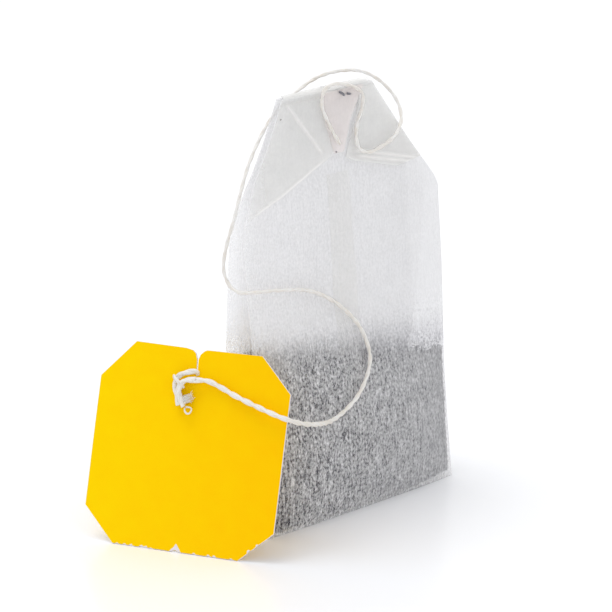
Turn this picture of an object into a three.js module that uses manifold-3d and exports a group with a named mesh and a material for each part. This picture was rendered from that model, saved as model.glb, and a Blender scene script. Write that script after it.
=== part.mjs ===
// A double-chamber tea bag that stands on its two chambers like a small tent. The string leaves
// the stapled head, loops over it, crosses the front and ends in a knot in the slit of a card tag,
// which leans on the bag's left edge.
//
// Millimetres, +Z up. The bag's width runs along X and its front faces -Y. The finished group is
// moved so that the origin lies under the middle of everything but the string and its knot.

import * as THREE from 'three';
import { ParametricGeometry } from 'three/addons/geometries/ParametricGeometry.js';
import { mergeVertices } from 'three/addons/utils/BufferGeometryUtils.js';
import Module from 'manifold-3d';

const wasm = await Module();
wasm.setup();

// ---------------------------------------------------------------------------------------------
// Driving dimensions
// ---------------------------------------------------------------------------------------------

const BAG_HEIGHT = 62.6;

// The side folds of the flattened tube, as [height, x]: nearly straight up to the shoulders, then
// inwards along the folded corners to the short top fold, which sits a little left of the middle.
const LEFT_EDGE = [
  [0, -19.6], [8, -19.3], [20, -19.4], [35, -20], [42.4, -20.2],
  [46, -19.4], [50.6, -17.5], [56, -14.5], [BAG_HEIGHT, -11.5],
];
const RIGHT_EDGE = [
  [0, 19.7], [8, 19.4], [18, 19.3], [32, 19.9], [44.5, 20],
  [45.8, 19.4], [BAG_HEIGHT, 6.1],
];

const WALL = 0.25;
const FOLD_HALF_THICKNESS = 0.3;
const EMPTY_HALF_THICKNESS = 0.47;
const FILL_BULGE = 1.75;
const FULLEST_HEIGHT = 10;
const SLACK_HEIGHT = 34;

const FOOT_SPREAD = 5;
const SHOULDER_HEIGHT = 46;
const SHOULDER_SPREAD = 1.1;
const HEAD_HEIGHT = 53;
const HEAD_SPREAD = 0.5;

const CAVITY_BOTTOM = 1;
const CAVITY_TOP = 54;
const CAVITY_INSET = 0.7;
const CAVITY_THINNEST = 0.06;

const TEA_BOTTOM = 1.8;
const TEA_TOP_LEFT = 25.4;
const TEA_TOP_RIGHT = 22.4;
const TEA_INSET = 2.2;
const TEA_GAP = 0.3;
const TEA_THINNEST = 0.15;

const GUSSET_HEIGHT = 14.6;
const GUSSET_THICKNESS = 0.75;
const GUSSET_HALF_WIDTH = 19;

// The two corners of the tube's end, folded in onto the front. Their edges are [height, x] too.
const CORNER_THICKNESS = 0.3;
const CORNER_TOP = 62.2;
const LEFT_CORNER_OUTER = [[47.3, -18.5], [50.6, -17.2], [56, -14.3], [CORNER_TOP, -11.4]];
const LEFT_CORNER_INNER = [[47.3, -18.2], [53, -2.6], [CORNER_TOP, -5.2]];
const RIGHT_CORNER_INNER = [[48.9, 11], [51.2, 2.1], [51.9, 0.6], [CORNER_TOP, 3.9]];
const RIGHT_CORNER_OUTER = [[48.9, 11.4], [49.3, 16.3], [CORNER_TOP, 5.9]];

const CORE_BOTTOM = 49.5;
const CORE_INSET = 0.9;
const CORE_THICKNESS = 1.2;

const HEAD_FLAP_HEIGHT = 5.6;
const HEAD_FLAP_THICKNESS = 0.9;
const HEAD_FLAP_GAP = 0.3;
const HEAD_FLAP_LEFT_TAPER = 2.9;
const HEAD_FLAP_RIGHT_TAPER = 4.4;
const TOP_FOLD_HEIGHT = 1;
const TOP_FOLD_OVERHANG = 0.1;

const SLIT_WIDTH = 0.3;
const MOUTH_LEFT = -7;
const MOUTH_RIGHT = -3.6;

const SEAM_BOTTOM = 0.8;
const SEAM_TOP = 50.8;
const SEAM_LEFT = [[SEAM_BOTTOM, -3.4], [SEAM_TOP, -3.4]];
const SEAM_RIGHT = [[SEAM_BOTTOM, 1.2], [SEAM_TOP, 1.2]];
const SEAM_THICKNESS = 0.25;

const STAPLE_RADIUS = 0.18;
const STAPLE_HOLE_RADIUS = 0.45;
const STAPLE_HOLE_LENGTH = 8;
const STAPLE_CLEARANCE = 0.3;
const STAPLE_LEFT = { x: -0.9, z: 61.75 };
const STAPLE_RIGHT = { x: 0.7, z: 61.3 };

const TAG_WIDTH = 29.1;
const TAG_HEIGHT = 28.9;
const TAG_CORNER = 4.9;
const TAG_THICKNESS = 0.3;
const TAG_SLIT_HALF = 0.25;
const TAG_EYE_HEIGHT = TAG_HEIGHT - 3.5;
const TAG_EYE_RADIUS = 0.55;
const TAG_LIP_DROP = 1.2;
const TAG_NICK_HEIGHT = 1.15;
const TAG_FOOT = { x: -32.1, y: 0.64 };
const TAG_TURN = THREE.MathUtils.degToRad(-67.2);
const TAG_LEAN = THREE.MathUtils.degToRad(19);

const STRING_RADIUS = 0.35;
const KNOT_RADIUS = 0.36;
const THREAD_RADIUS = 0.22;
const TUFT_RADIUS = 0.46;
const RING_RADIUS = 0.75;

// The string's route: up one side of the head, along the top fold, down the other side, out in a
// wide loop over the head, down the left edge, across the front and down to the tag's knot.
const STRING_ROUTE = [
  [-1.4, -1.9, 54.4], [-3.5, -1.9, 57.4], [-5.1, -1.9, 60.9], [-4.3, -1.9, 62.9],
  [-1.8, -1.9, 63.2], [1.3, -1.9, 62.3], [3.2, -1.9, 60.9], [3.2, -1.9, 59.1],
  [2.0, -1.9, 56.3], [2.4, -1.9, 53.3], [4.3, -2.0, 52.2], [7.2, -2.1, 52.6],
  [9.8, -2.1, 53.7], [12.3, -1.0, 55.5], [13.2, 0.7, 57.8], [12.1, 2.3, 60.2],
  [8.4, 3.0, 62.5], [3.3, 3.1, 63.4], [-1.6, 3.1, 63.0], [-6.0, 3.1, 61.3],
  [-10.8, 2.5, 58.9], [-16.3, 1.2, 53.9], [-20.2, 0.4, 46.5], [-21.2, 1.1, 42.1],
  [-21.5, 1.2, 39.2], [-21.3, 0.4, 37.2], [-21.1, -1.3, 36.4], [-19.9, -2.9, 36.4],
  [-14.9, -3.3, 35.8], [-8.5, -3.5, 34.3], [-3.1, -3.9, 31.0], [0.7, -4.6, 26.5],
  [1.4, -5.4, 22.3], [-1.5, -6.2, 18.3], [-7.3, -7.4, 16.2], [-16.6, -11.0, 18.1],
  [-21.0, -10.4, 19.8], [-23.0, -3.5, 21.7], [-24.6, 1.5, 23.5], [-25.7, 3.2, 23.5],
];
const STRING_STEPS = 80;

const FRONT = -1;
const REAR = 1;

// ---------------------------------------------------------------------------------------------
// Joining and cutting
// ---------------------------------------------------------------------------------------------

/** Turns a closed geometry into a solid, leaving out the triangles that collapse at a pole. */
function toSolid(geometry) {
  const bare = geometry.clone();
  bare.deleteAttribute('normal');
  bare.deleteAttribute('uv');
  const merged = mergeVertices(bare, 1e-5);
  const corners = merged.index.array;
  const kept = [];
  for (let i = 0; i < corners.length; i += 3) {
    const [a, b, c] = [corners[i], corners[i + 1], corners[i + 2]];
    if (a !== b && b !== c && c !== a) {
      kept.push(a, b, c);
    }
  }
  const mesh = new wasm.Mesh({
    numProp: 3,
    vertProperties: new Float32Array(merged.attributes.position.array),
    triVerts: new Uint32Array(kept),
  });
  return new wasm.Manifold(mesh);
}

/** Turns a solid back into a geometry. */
function toGeometry(solid) {
  const mesh = solid.getMesh();
  const geometry = new THREE.BufferGeometry();
  const positions = new Float32Array(mesh.vertProperties);
  geometry.setAttribute('position', new THREE.BufferAttribute(positions, 3));
  geometry.setIndex(new THREE.BufferAttribute(new Uint32Array(mesh.triVerts), 1));
  geometry.computeVertexNormals();
  return geometry;
}

/** Joins geometries into one solid. */
function join(geometries) {
  return geometries.map(toSolid).reduce((whole, piece) => whole.add(piece));
}

// ---------------------------------------------------------------------------------------------
// The shape of one chamber
// ---------------------------------------------------------------------------------------------

/** Reads a table of [height, value] rows at any height, in straight lines between its rows. */
function readTable(table, height) {
  const last = table.length - 1;
  let row = 1;
  while (row < last && table[row][0] < height) {
    row += 1;
  }
  const [lowHeight, lowValue] = table[row - 1];
  const [highHeight, highValue] = table[row];
  return THREE.MathUtils.mapLinear(height, lowHeight, highHeight, lowValue, highValue);
}

/** Distance from the tent's middle plane to the middle of a chamber at a height. */
function spreadAt(height) {
  if (height < SHOULDER_HEIGHT) {
    return THREE.MathUtils.mapLinear(height, 0, SHOULDER_HEIGHT, FOOT_SPREAD, SHOULDER_SPREAD);
  }
  const closed = THREE.MathUtils.smoothstep(height, SHOULDER_HEIGHT, HEAD_HEIGHT);
  return THREE.MathUtils.lerp(SHOULDER_SPREAD, HEAD_SPREAD, closed);
}

/** Half the thickness of a chamber at a height and across its width, from -1 to 1. */
function halfThicknessAt(height, across) {
  const rising = THREE.MathUtils.clamp(height / FULLEST_HEIGHT, 0, 1);
  const slackness = (height - FULLEST_HEIGHT) / (SLACK_HEIGHT - FULLEST_HEIGHT);
  const falling = THREE.MathUtils.clamp(slackness, 0, 1);
  const fill = Math.sin(rising * Math.PI / 2) ** 0.8 * (1 + Math.cos(falling * Math.PI)) / 2;
  const middle = EMPTY_HALF_THICKNESS + FILL_BULGE * fill;
  return FOLD_HALF_THICKNESS + (middle - FOLD_HALF_THICKNESS) * (1 - across ** 4);
}

/**
 * A closed pillow inside or along one chamber. Rings of points, each a front and a back row, are
 * stacked from the bottom to the top and closed by a flat fan at both ends.
 * side: which chamber. bottom, top(t): heights, the top one for t from 0 at the left to 1 at the
 * right. inset: distance in from the side folds. thinner: taken off the half thickness.
 * thinnest: what stays. columns, rows: how fine the pillow is.
 */
function pillow({ side, bottom, top, inset, thinner, thinnest, columns, rows }) {
  const ringLength = 2 * columns;
  const place = (u, v, target) => {
    const ring = Math.round(u * ringLength) % ringLength;
    const level = Math.round(v * (rows + 2));
    const isPole = level === 0 || level === rows + 2;
    const rise = THREE.MathUtils.clamp((level - 1) / rows, 0, 1);
    const isNear = ring < columns;
    const column = isNear ? ring : ringLength - 1 - ring;
    const t = isPole ? 0.5 : (1 - Math.cos(Math.PI * column / (columns - 1))) / 2;
    const z = THREE.MathUtils.lerp(bottom, top(t), rise);
    const left = readTable(LEFT_EDGE, z);
    const right = readTable(RIGHT_EDGE, z);
    const x = THREE.MathUtils.lerp(left + inset, right - inset, t);
    const across = THREE.MathUtils.mapLinear(x, left, right, -1, 1);
    const half = isPole ? 0 : Math.max(halfThicknessAt(z, across) - thinner, thinnest);
    target.set(x, side * spreadAt(z) + (isNear ? -half : half), z);
  };
  return new ParametricGeometry(place, ringLength, rows + 2);
}

/** The outside of one chamber, from its foot into the top fold. */
function chamberOutside(side) {
  return pillow({
    side, bottom: 0, top: () => BAG_HEIGHT - TOP_FOLD_HEIGHT / 2, inset: 0,
    thinner: 0, thinnest: FOLD_HALF_THICKNESS, columns: 15, rows: 22,
  });
}

/** The hollow of one chamber, up to where the two sheets of paper lie flat together. */
function chamberHollow(side) {
  return pillow({
    side, bottom: CAVITY_BOTTOM, top: () => CAVITY_TOP, inset: CAVITY_INSET,
    thinner: WALL, thinnest: CAVITY_THINNEST, columns: 11, rows: 16,
  });
}

/** The dose of tea in one chamber, heaped a little higher on the left. */
function teaDose(side) {
  return pillow({
    side, bottom: TEA_BOTTOM, top: (t) => THREE.MathUtils.lerp(TEA_TOP_LEFT, TEA_TOP_RIGHT, t),
    inset: TEA_INSET, thinner: WALL + TEA_GAP, thinnest: TEA_THINNEST,
    columns: 10, rows: 10,
  });
}

/**
 * A flat strip of doubled paper that lies on the outer face of one chamber and is sunk into it.
 * left, right: tables of the strip's two edges, as [height, x]. bottom, top: its heights.
 * proud: how far it stands out of the face.
 */
function faceStrip({ side, left, right, bottom, top, proud, rows }) {
  const sunk = -FOLD_HALF_THICKNESS;
  const corners = [[left, proud], [right, proud], [right, sunk], [left, sunk]];
  const order = side === FRONT ? corners : [...corners].reverse();
  const place = (u, v, target) => {
    const level = Math.round(v * (rows + 2));
    const isPole = level === 0 || level === rows + 2;
    const rise = THREE.MathUtils.clamp((level - 1) / rows, 0, 1);
    const z = THREE.MathUtils.lerp(bottom, top, rise);
    const [edge, lift] = order[Math.round(u * 4) % 4];
    const x = isPole ? (readTable(left, z) + readTable(right, z)) / 2 : readTable(edge, z);
    const bagLeft = readTable(LEFT_EDGE, z);
    const bagRight = readTable(RIGHT_EDGE, z);
    const across = THREE.MathUtils.mapLinear(x, bagLeft, bagRight, -1, 1);
    const face = spreadAt(z) + halfThicknessAt(z, across);
    target.set(x, side * (face + (isPole ? 0 : lift)), z);
  };
  return new ParametricGeometry(place, 4, rows + 2);
}

/** The long seam of the paper tube, a band on the outer face of one chamber. */
function seamBand(side) {
  return faceStrip({
    side, left: SEAM_LEFT, right: SEAM_RIGHT, bottom: SEAM_BOTTOM, top: SEAM_TOP,
    proud: SEAM_THICKNESS, rows: 16,
  });
}

/** A corner of the tube's end, folded in onto the front of the head. */
function foldedCorner(left, right) {
  const bottom = Math.max(left[0][0], right[0][0]);
  return faceStrip({
    side: FRONT, left, right, bottom, top: CORNER_TOP, proud: CORNER_THICKNESS, rows: 12,
  });
}

// ---------------------------------------------------------------------------------------------
// Folds
// ---------------------------------------------------------------------------------------------

/** A flat piece whose outline is given as [across, up] points, extruded by a depth. */
function plate(outline, depth) {
  const shape = new THREE.Shape(outline.map(([a, b]) => new THREE.Vector2(a, b)));
  return new THREE.ExtrudeGeometry(shape, { depth, bevelEnabled: false });
}

/** Stands a plate up so that its outline lies in X and Z and its depth runs towards -Y from y. */
function faceFront(geometry, y) {
  return geometry.rotateX(Math.PI / 2).translate(0, y, 0);
}

/** Stands a plate up so that its outline lies in Y and Z and its depth runs along +X from x. */
function faceSide(geometry, x) {
  const turn = new THREE.Matrix4().makeBasis(
    new THREE.Vector3(0, 1, 0), new THREE.Vector3(0, 0, 1), new THREE.Vector3(1, 0, 0));
  return geometry.applyMatrix4(turn).translate(x, 0, 0);
}

/** A box between two corners. */
function boxBetween(low, high) {
  const size = high.map((value, axis) => value - low[axis]);
  const middle = high.map((value, axis) => (value + low[axis]) / 2);
  return new THREE.BoxGeometry(...size).translate(...middle);
}

/** The W fold in the bottom: two arms of doubled paper that meet in a ridge between the chambers. */
function gusset() {
  const inside = FOOT_SPREAD - GUSSET_THICKNESS / 2;
  const outside = FOOT_SPREAD + GUSSET_THICKNESS / 2;
  const outline = [
    [-outside, 0], [-inside, 0], [0, GUSSET_HEIGHT - 2 * GUSSET_THICKNESS],
    [inside, 0], [outside, 0], [0, GUSSET_HEIGHT],
  ];
  return faceSide(plate(outline, 2 * GUSSET_HALF_WIDTH), -GUSSET_HALF_WIDTH);
}

/** The paper between the two chambers in the head, where the folds press them together. */
function headCore() {
  const top = BAG_HEIGHT - TOP_FOLD_HEIGHT / 2;
  const outline = [
    [readTable(LEFT_EDGE, CORE_BOTTOM) + CORE_INSET, CORE_BOTTOM],
    [readTable(RIGHT_EDGE, CORE_BOTTOM) - CORE_INSET, CORE_BOTTOM],
    [readTable(RIGHT_EDGE, top) - CORE_INSET, top],
    [readTable(LEFT_EDGE, top) + CORE_INSET, top],
  ];
  return faceFront(plate(outline, CORE_THICKNESS), CORE_THICKNESS / 2);
}

/** The end of the head, folded over to the rear: a short tapered flap and the fold above it. */
function headFlap() {
  const left = readTable(LEFT_EDGE, BAG_HEIGHT);
  const right = readTable(RIGHT_EDGE, BAG_HEIGHT);
  const rear = HEAD_SPREAD + EMPTY_HALF_THICKNESS;
  const flapRear = rear + HEAD_FLAP_GAP + HEAD_FLAP_THICKNESS;
  const rounding = TOP_FOLD_HEIGHT / 2;
  const front = rear + TOP_FOLD_OVERHANG;
  const flapBottom = BAG_HEIGHT - HEAD_FLAP_HEIGHT;
  const flap = plate([
    [left, BAG_HEIGHT - rounding], [left + HEAD_FLAP_LEFT_TAPER, flapBottom],
    [right - HEAD_FLAP_RIGHT_TAPER, flapBottom], [right, BAG_HEIGHT - rounding],
  ], HEAD_FLAP_THICKNESS);
  const profile = new THREE.Shape();
  profile.moveTo(-front, BAG_HEIGHT - TOP_FOLD_HEIGHT);
  profile.lineTo(flapRear, BAG_HEIGHT - TOP_FOLD_HEIGHT);
  profile.absarc(flapRear - rounding, BAG_HEIGHT - rounding, rounding, 0, Math.PI / 2);
  profile.absarc(rounding - front, BAG_HEIGHT - rounding, rounding, Math.PI / 2, Math.PI);
  const fold = new THREE.ExtrudeGeometry(profile, {
    depth: right - left, bevelEnabled: false, curveSegments: 4,
  });
  return [faceFront(flap, flapRear), faceSide(fold, left)];
}

/** The flat slit that both sheets leave open, from the chambers over the top fold to the cut end. */
function mouthSlit() {
  const half = SLIT_WIDTH / 2;
  const over = BAG_HEIGHT - TOP_FOLD_HEIGHT / 2;
  const behind = HEAD_SPREAD + EMPTY_HALF_THICKNESS + HEAD_FLAP_GAP + HEAD_FLAP_THICKNESS / 2;
  const risers = [-HEAD_SPREAD, HEAD_SPREAD].map((y) => boxBetween(
    [MOUTH_LEFT, y - half, CAVITY_TOP - 1], [MOUTH_RIGHT, y + half, over + half]));
  const bridge = boxBetween(
    [MOUTH_LEFT, -HEAD_SPREAD - half, over - half], [MOUTH_RIGHT, behind + half, over + half]);
  const outlet = boxBetween(
    [MOUTH_LEFT, behind - half, BAG_HEIGHT - HEAD_FLAP_HEIGHT - 1],
    [MOUTH_RIGHT, behind + half, over + half]);
  return [...risers, bridge, outlet];
}

/** A round hole for one leg of the staple, right through the head. */
function stapleHole({ x, z }) {
  const radius = STAPLE_HOLE_RADIUS;
  return new THREE.CylinderGeometry(radius, radius, STAPLE_HOLE_LENGTH, 10).translate(x, 0, z);
}

/** The whole paper bag: one strip of filter paper, folded. */
function filterBag() {
  const paper = join([
    chamberOutside(FRONT), chamberOutside(REAR), gusset(), headCore(), ...headFlap(),
    foldedCorner(LEFT_CORNER_OUTER, LEFT_CORNER_INNER),
    foldedCorner(RIGHT_CORNER_INNER, RIGHT_CORNER_OUTER), seamBand(FRONT), seamBand(REAR),
  ]);
  const hollow = join([chamberHollow(FRONT), chamberHollow(REAR), ...mouthSlit()]);
  const holes = join([STAPLE_LEFT, STAPLE_RIGHT].map(stapleHole));
  return toGeometry(paper.subtract(hollow).subtract(holes));
}

// ---------------------------------------------------------------------------------------------
// Staple, string, knot and tag
// ---------------------------------------------------------------------------------------------

/** A round wire or cord of one radius along a list of points. */
function tubeAlong(points, { radius, sides, steps }) {
  const section = new THREE.Shape();
  for (let side = 0; side < sides; side += 1) {
    const angle = 2 * Math.PI * side / sides;
    const corner = [radius * Math.cos(angle), radius * Math.sin(angle)];
    if (side === 0) {
      section.moveTo(...corner);
    } else {
      section.lineTo(...corner);
    }
  }
  section.closePath();
  const stops = points.map((point) => new THREE.Vector3(...point));
  const path = new THREE.CatmullRomCurve3(stops, false, 'centripetal');
  return new THREE.ExtrudeGeometry(section, { steps, extrudePath: path, bevelEnabled: false });
}

/** The wire staple: its crown lies behind the head and its two ends are turned over in front. */
function staple() {
  const face = HEAD_SPREAD + EMPTY_HALF_THICKNESS;
  const lift = STAPLE_CLEARANCE + STAPLE_RADIUS;
  const front = -face - CORNER_THICKNESS - lift;
  const crown = face + HEAD_FLAP_GAP + HEAD_FLAP_THICKNESS + lift;
  const { x: left, z: leftHeight } = STAPLE_LEFT;
  const { x: right, z: rightHeight } = STAPLE_RIGHT;
  const middleHeight = (leftHeight + rightHeight) / 2;
  const points = [
    [left + 0.7, front, leftHeight - 0.75], [left + 0.35, front - 0.05, leftHeight - 0.3],
    [left, front + 0.25, leftHeight], [left, 0, leftHeight], [left, crown - 0.35, leftHeight],
    [left + 0.3, crown, leftHeight - 0.05], [0, crown, middleHeight],
    [right - 0.3, crown, rightHeight + 0.05], [right, crown - 0.35, rightHeight],
    [right, 0, rightHeight], [right, front + 0.25, rightHeight],
    [right + 0.3, front - 0.05, rightHeight - 0.05], [right + 0.65, front, rightHeight - 0.1],
  ];
  return tubeAlong(points, { radius: STAPLE_RADIUS, sides: 6, steps: 36 });
}

/** The card tag: a square with cut corners, a slit in the top edge and a torn nick in the bottom. */
function tagCard() {
  const half = TAG_WIDTH / 2;
  const lipHeight = TAG_HEIGHT - TAG_LIP_DROP;
  const eyeAngle = Math.asin(TAG_SLIT_HALF / TAG_EYE_RADIUS);
  const eyeTop = TAG_EYE_HEIGHT + TAG_EYE_RADIUS * Math.cos(eyeAngle);
  const card = new THREE.Shape();
  card.moveTo(TAG_CORNER - half, 0);
  card.lineTo(-0.8, 0);
  card.lineTo(0, TAG_NICK_HEIGHT);
  card.lineTo(0.95, 0);
  card.lineTo(half - TAG_CORNER, 0);
  card.lineTo(half, TAG_CORNER);
  card.lineTo(half, TAG_HEIGHT - TAG_CORNER);
  card.lineTo(half - TAG_CORNER, TAG_HEIGHT);
  card.lineTo(1.3, TAG_HEIGHT);
  card.quadraticCurveTo(0.6, TAG_HEIGHT, TAG_SLIT_HALF, lipHeight);
  card.lineTo(TAG_SLIT_HALF, eyeTop);
  card.absarc(
    0, TAG_EYE_HEIGHT, TAG_EYE_RADIUS, Math.PI / 2 - eyeAngle, Math.PI / 2 + eyeAngle, true);
  card.lineTo(-TAG_SLIT_HALF, lipHeight);
  card.quadraticCurveTo(-0.5, TAG_HEIGHT - 0.2, -2, TAG_HEIGHT);
  card.lineTo(TAG_CORNER - half, TAG_HEIGHT);
  card.lineTo(-half, TAG_HEIGHT - TAG_CORNER);
  card.lineTo(-half, TAG_CORNER);
  card.closePath();
  const settings = { depth: TAG_THICKNESS, bevelEnabled: false, curveSegments: 5 };
  return new THREE.ExtrudeGeometry(card, settings).translate(0, 0, -TAG_THICKNESS);
}

/**
 * The knot in the tag's slit, in the tag's own frame with its front at z = 0. A thread passes
 * through the eye of the slit to a small ring behind the card. In front it turns left and down
 * beside the string's end, and both stop in a frayed tuft.
 */
function stringKnot() {
  const eye = TAG_EYE_HEIGHT;
  const through = tubeAlong([
    [0, eye, -1.1], [0, eye, -0.5], [0, eye, 0.2], [-0.35, eye + 0.05, 0.75],
  ], { radius: THREAD_RADIUS, sides: 6, steps: 8 });
  const ring = new THREE.TorusGeometry(RING_RADIUS, THREAD_RADIUS, 6, 14);
  ring.translate(0, eye - RING_RADIUS, -1);
  const loop = tubeAlong([
    [-0.3, eye, 0.75], [-1.0, eye + 0.05, 0.85], [-1.9, eye - 0.05, 0.8], [-2.7, eye - 0.6, 0.75],
    [-2.8, eye - 1.5, 0.75], [-2.5, eye - 2.6, 0.75], [-2.2, eye - 3.8, 0.75], [-1.7, eye - 4.9, 0.8],
  ], { radius: KNOT_RADIUS, sides: 7, steps: 14 });
  const end = tubeAlong([
    [-1.15, eye - 1.35, 1.1], [-1.7, eye - 1.45, 1.05], [-2.15, eye - 2.1, 1.0],
    [-1.95, eye - 3.3, 1.0], [-1.6, eye - 4.3, 1.0], [-1.35, eye - 4.9, 1.0],
  ], { radius: KNOT_RADIUS, sides: 7, steps: 9 });
  const tuft = tubeAlong([
    [-1.6, eye - 4.7, 0.9], [-0.9, eye - 4.3, 0.9], [-0.2, eye - 3.7, 0.95], [0.5, eye - 3.5, 0.95],
  ], { radius: TUFT_RADIUS, sides: 7, steps: 5 });
  const curl = tubeAlong([
    [-1.2, eye - 4.8, 0.9], [-0.6, eye - 5.3, 0.9], [0, eye - 4.9, 0.9], [-0.2, eye - 4.2, 0.9],
  ], { radius: THREAD_RADIUS, sides: 6, steps: 8 });
  return toGeometry(join([through, ring, loop, end, tuft, curl]));
}

// ---------------------------------------------------------------------------------------------
// The assembly
// ---------------------------------------------------------------------------------------------

/** A named mesh with a finish of its own. */
function part(name, geometry, finish) {
  const mesh = new THREE.Mesh(geometry, new THREE.MeshStandardMaterial(finish));
  mesh.name = name;
  return mesh;
}

const PAPER = { color: 0xe6e5e2, roughness: 0.9, metalness: 0, transparent: true, opacity: 0.75 };
const TEA = { color: 0x4a3c33, roughness: 1, metalness: 0 };
const WIRE = { color: 0x7c7d84, roughness: 0.35, metalness: 1 };
const COTTON = { color: 0xece6da, roughness: 0.95, metalness: 0 };
const CARD = { color: 0xffcb05, roughness: 0.45, metalness: 0 };

const stringTube = tubeAlong(STRING_ROUTE, { radius: STRING_RADIUS, sides: 8, steps: STRING_STEPS });

const cordPieces = [part('string', stringTube, COTTON), part('string_knot', stringKnot(), COTTON)];
const ownPieces = [
  part('filter_bag', filterBag(), PAPER),
  part('tea_front', teaDose(FRONT), TEA),
  part('tea_rear', teaDose(REAR), TEA),
  part('staple', staple(), WIRE),
  part('tag', tagCard(), CARD),
];
const [stringMesh, knotMesh] = cordPieces;
const [bagMesh, teaFrontMesh, teaRearMesh, stapleMesh, tagMesh] = ownPieces;

// The tag's lowest line is the back of its bottom edge, which rests on the ground.
const tagFrame = new THREE.Group();
tagFrame.rotation.set(Math.PI / 2 - TAG_LEAN, 0, TAG_TURN, 'ZXY');
tagFrame.position.set(TAG_FOOT.x, TAG_FOOT.y, TAG_THICKNESS * Math.sin(TAG_LEAN));
tagFrame.add(tagMesh, knotMesh);

const bagFrame = new THREE.Group();
bagFrame.add(bagMesh, teaFrontMesh, teaRearMesh, stapleMesh, stringMesh, tagFrame);

const group = new THREE.Group();
group.add(bagFrame);
group.updateMatrixWorld(true);

const bounds = new THREE.Box3();
for (const mesh of ownPieces) {
  bounds.expandByObject(mesh, true);
}
bagFrame.position.set(
  -(bounds.min.x + bounds.max.x) / 2, -(bounds.min.y + bounds.max.y) / 2, -bounds.min.z);

export default group;
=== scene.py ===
"""A stapled double-chamber tea bag with its looped string and its card tag.

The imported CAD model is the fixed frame. All lengths are in metres. The folded paper, the tea, the
string, its knot, the staple and the tag are surfaces worked out as whole arrays of points, in the
bag's own frame: X runs along the bag's width, its front faces -Y, and the origin lies on the ground
under the middle of the bag. They are moved into the frame of the CAD model as they are made.
"""

import logging
import math
from collections.abc import Sequence
from dataclasses import dataclass, field
from enum import Enum

import bpy
import numpy as np
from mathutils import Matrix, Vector


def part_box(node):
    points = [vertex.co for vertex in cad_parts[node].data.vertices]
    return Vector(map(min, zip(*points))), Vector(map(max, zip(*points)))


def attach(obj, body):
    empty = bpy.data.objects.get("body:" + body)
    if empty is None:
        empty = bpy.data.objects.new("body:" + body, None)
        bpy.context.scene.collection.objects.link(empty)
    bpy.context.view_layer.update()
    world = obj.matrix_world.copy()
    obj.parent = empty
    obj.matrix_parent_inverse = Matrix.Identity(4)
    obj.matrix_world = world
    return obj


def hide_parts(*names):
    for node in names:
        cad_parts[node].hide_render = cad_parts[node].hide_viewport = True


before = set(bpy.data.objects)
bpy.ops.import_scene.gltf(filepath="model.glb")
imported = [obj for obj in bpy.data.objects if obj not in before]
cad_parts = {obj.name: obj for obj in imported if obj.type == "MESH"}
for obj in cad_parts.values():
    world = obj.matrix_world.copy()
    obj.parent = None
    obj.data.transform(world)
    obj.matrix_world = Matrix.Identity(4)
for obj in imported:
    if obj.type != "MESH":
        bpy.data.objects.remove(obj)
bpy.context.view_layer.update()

ROOT = "root"
FIBRE_OUTPUTS = ("Cloud", "Rib", "Fleck", "Height")
Table = tuple[tuple[float, float], ...]
Point = tuple[float, float]

log = logging.getLogger("tea_bag")


class Side(Enum):
    """The two chambers of the bag, by the sign of Y that their outer face looks towards."""

    FRONT = -1
    REAR = 1


class Slot(Enum):
    """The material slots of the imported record."""

    PAPER = "filter_paper"
    TEA = "tea_leaves"
    WIRE = "staple_wire"
    COTTON = "cotton_string"
    CARD = "tag_card"


# ---------------------------------------------------------------------------------------------
# Surfaces
# ---------------------------------------------------------------------------------------------


@dataclass
class Surface:
    """Points, the faces between them, and values that each point carries for its material."""

    points: np.ndarray
    faces: list[list[int]]
    values: dict[str, np.ndarray] = field(default_factory=dict)

    @staticmethod
    def joined(surfaces: Sequence["Surface"]) -> "Surface":
        """Puts several surfaces into one.

        Args:
            surfaces: The surfaces, which carry values of the same names.

        Returns:
            One surface with all their points and faces.
        """
        starts = np.cumsum([0] + [len(s.points) for s in surfaces])
        faces = [[int(start) + i for i in face] for s, start in zip(surfaces, starts) for face in s.faces]
        values = {
            name: np.concatenate([s.values[name] for s in surfaces]) for name in surfaces[0].values
        }
        return Surface(np.concatenate([s.points for s in surfaces]), faces, values)

    def moved(self, turn: np.ndarray, place: np.ndarray) -> "Surface":
        """Turns the surface and then moves it.

        Args:
            turn: The 3 by 3 matrix whose columns are where the axes go.
            place: Where the origin goes.

        Returns:
            The surface in its new place.
        """
        return Surface(self.points @ turn.T + place, self.faces, self.values)

    def piece(self, name: str, slot: Slot, material: bpy.types.Material,
              sharp: float = math.radians(40)) -> bpy.types.Object:
        """Makes the surface a Blender object that rides on the part's one body.

        Args:
            name: The piece's name.
            slot: The record's material slot for the piece. It is not used.
            material: What it is dressed in.
            sharp: Edges that turn by more than this angle stay sharp.

        Returns:
            The new object, at the origin, with its place in its mesh.
        """
        mesh = bpy.data.meshes.new(name)
        mesh.from_pydata((self.points + bag_place()).tolist(), [], self.faces)
        mesh.polygons.foreach_set("use_smooth", np.ones(len(mesh.polygons), bool))
        for label, numbers in self.values.items():
            kind = "FLOAT" if numbers.ndim == 1 else "FLOAT_VECTOR"
            key = "value" if numbers.ndim == 1 else "vector"
            mesh.attributes.new(label, kind, "POINT").data.foreach_set(
                key, numbers.astype(np.float32).ravel())
        mesh.update()
        mesh.set_sharp_from_angle(angle=sharp)
        mesh.materials.append(material)
        piece = linked(name, mesh)
        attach(piece, ROOT)
        log.info("%s: %d points, %d faces", name, len(mesh.vertices), len(mesh.polygons))
        return piece


def linked(name: str, data: bpy.types.ID) -> bpy.types.Object:
    """A new object in the scene, with a mesh, a camera or a lamp for its data."""
    made = bpy.data.objects.new(name, data)
    bpy.context.scene.collection.objects.link(made)
    return made


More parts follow.
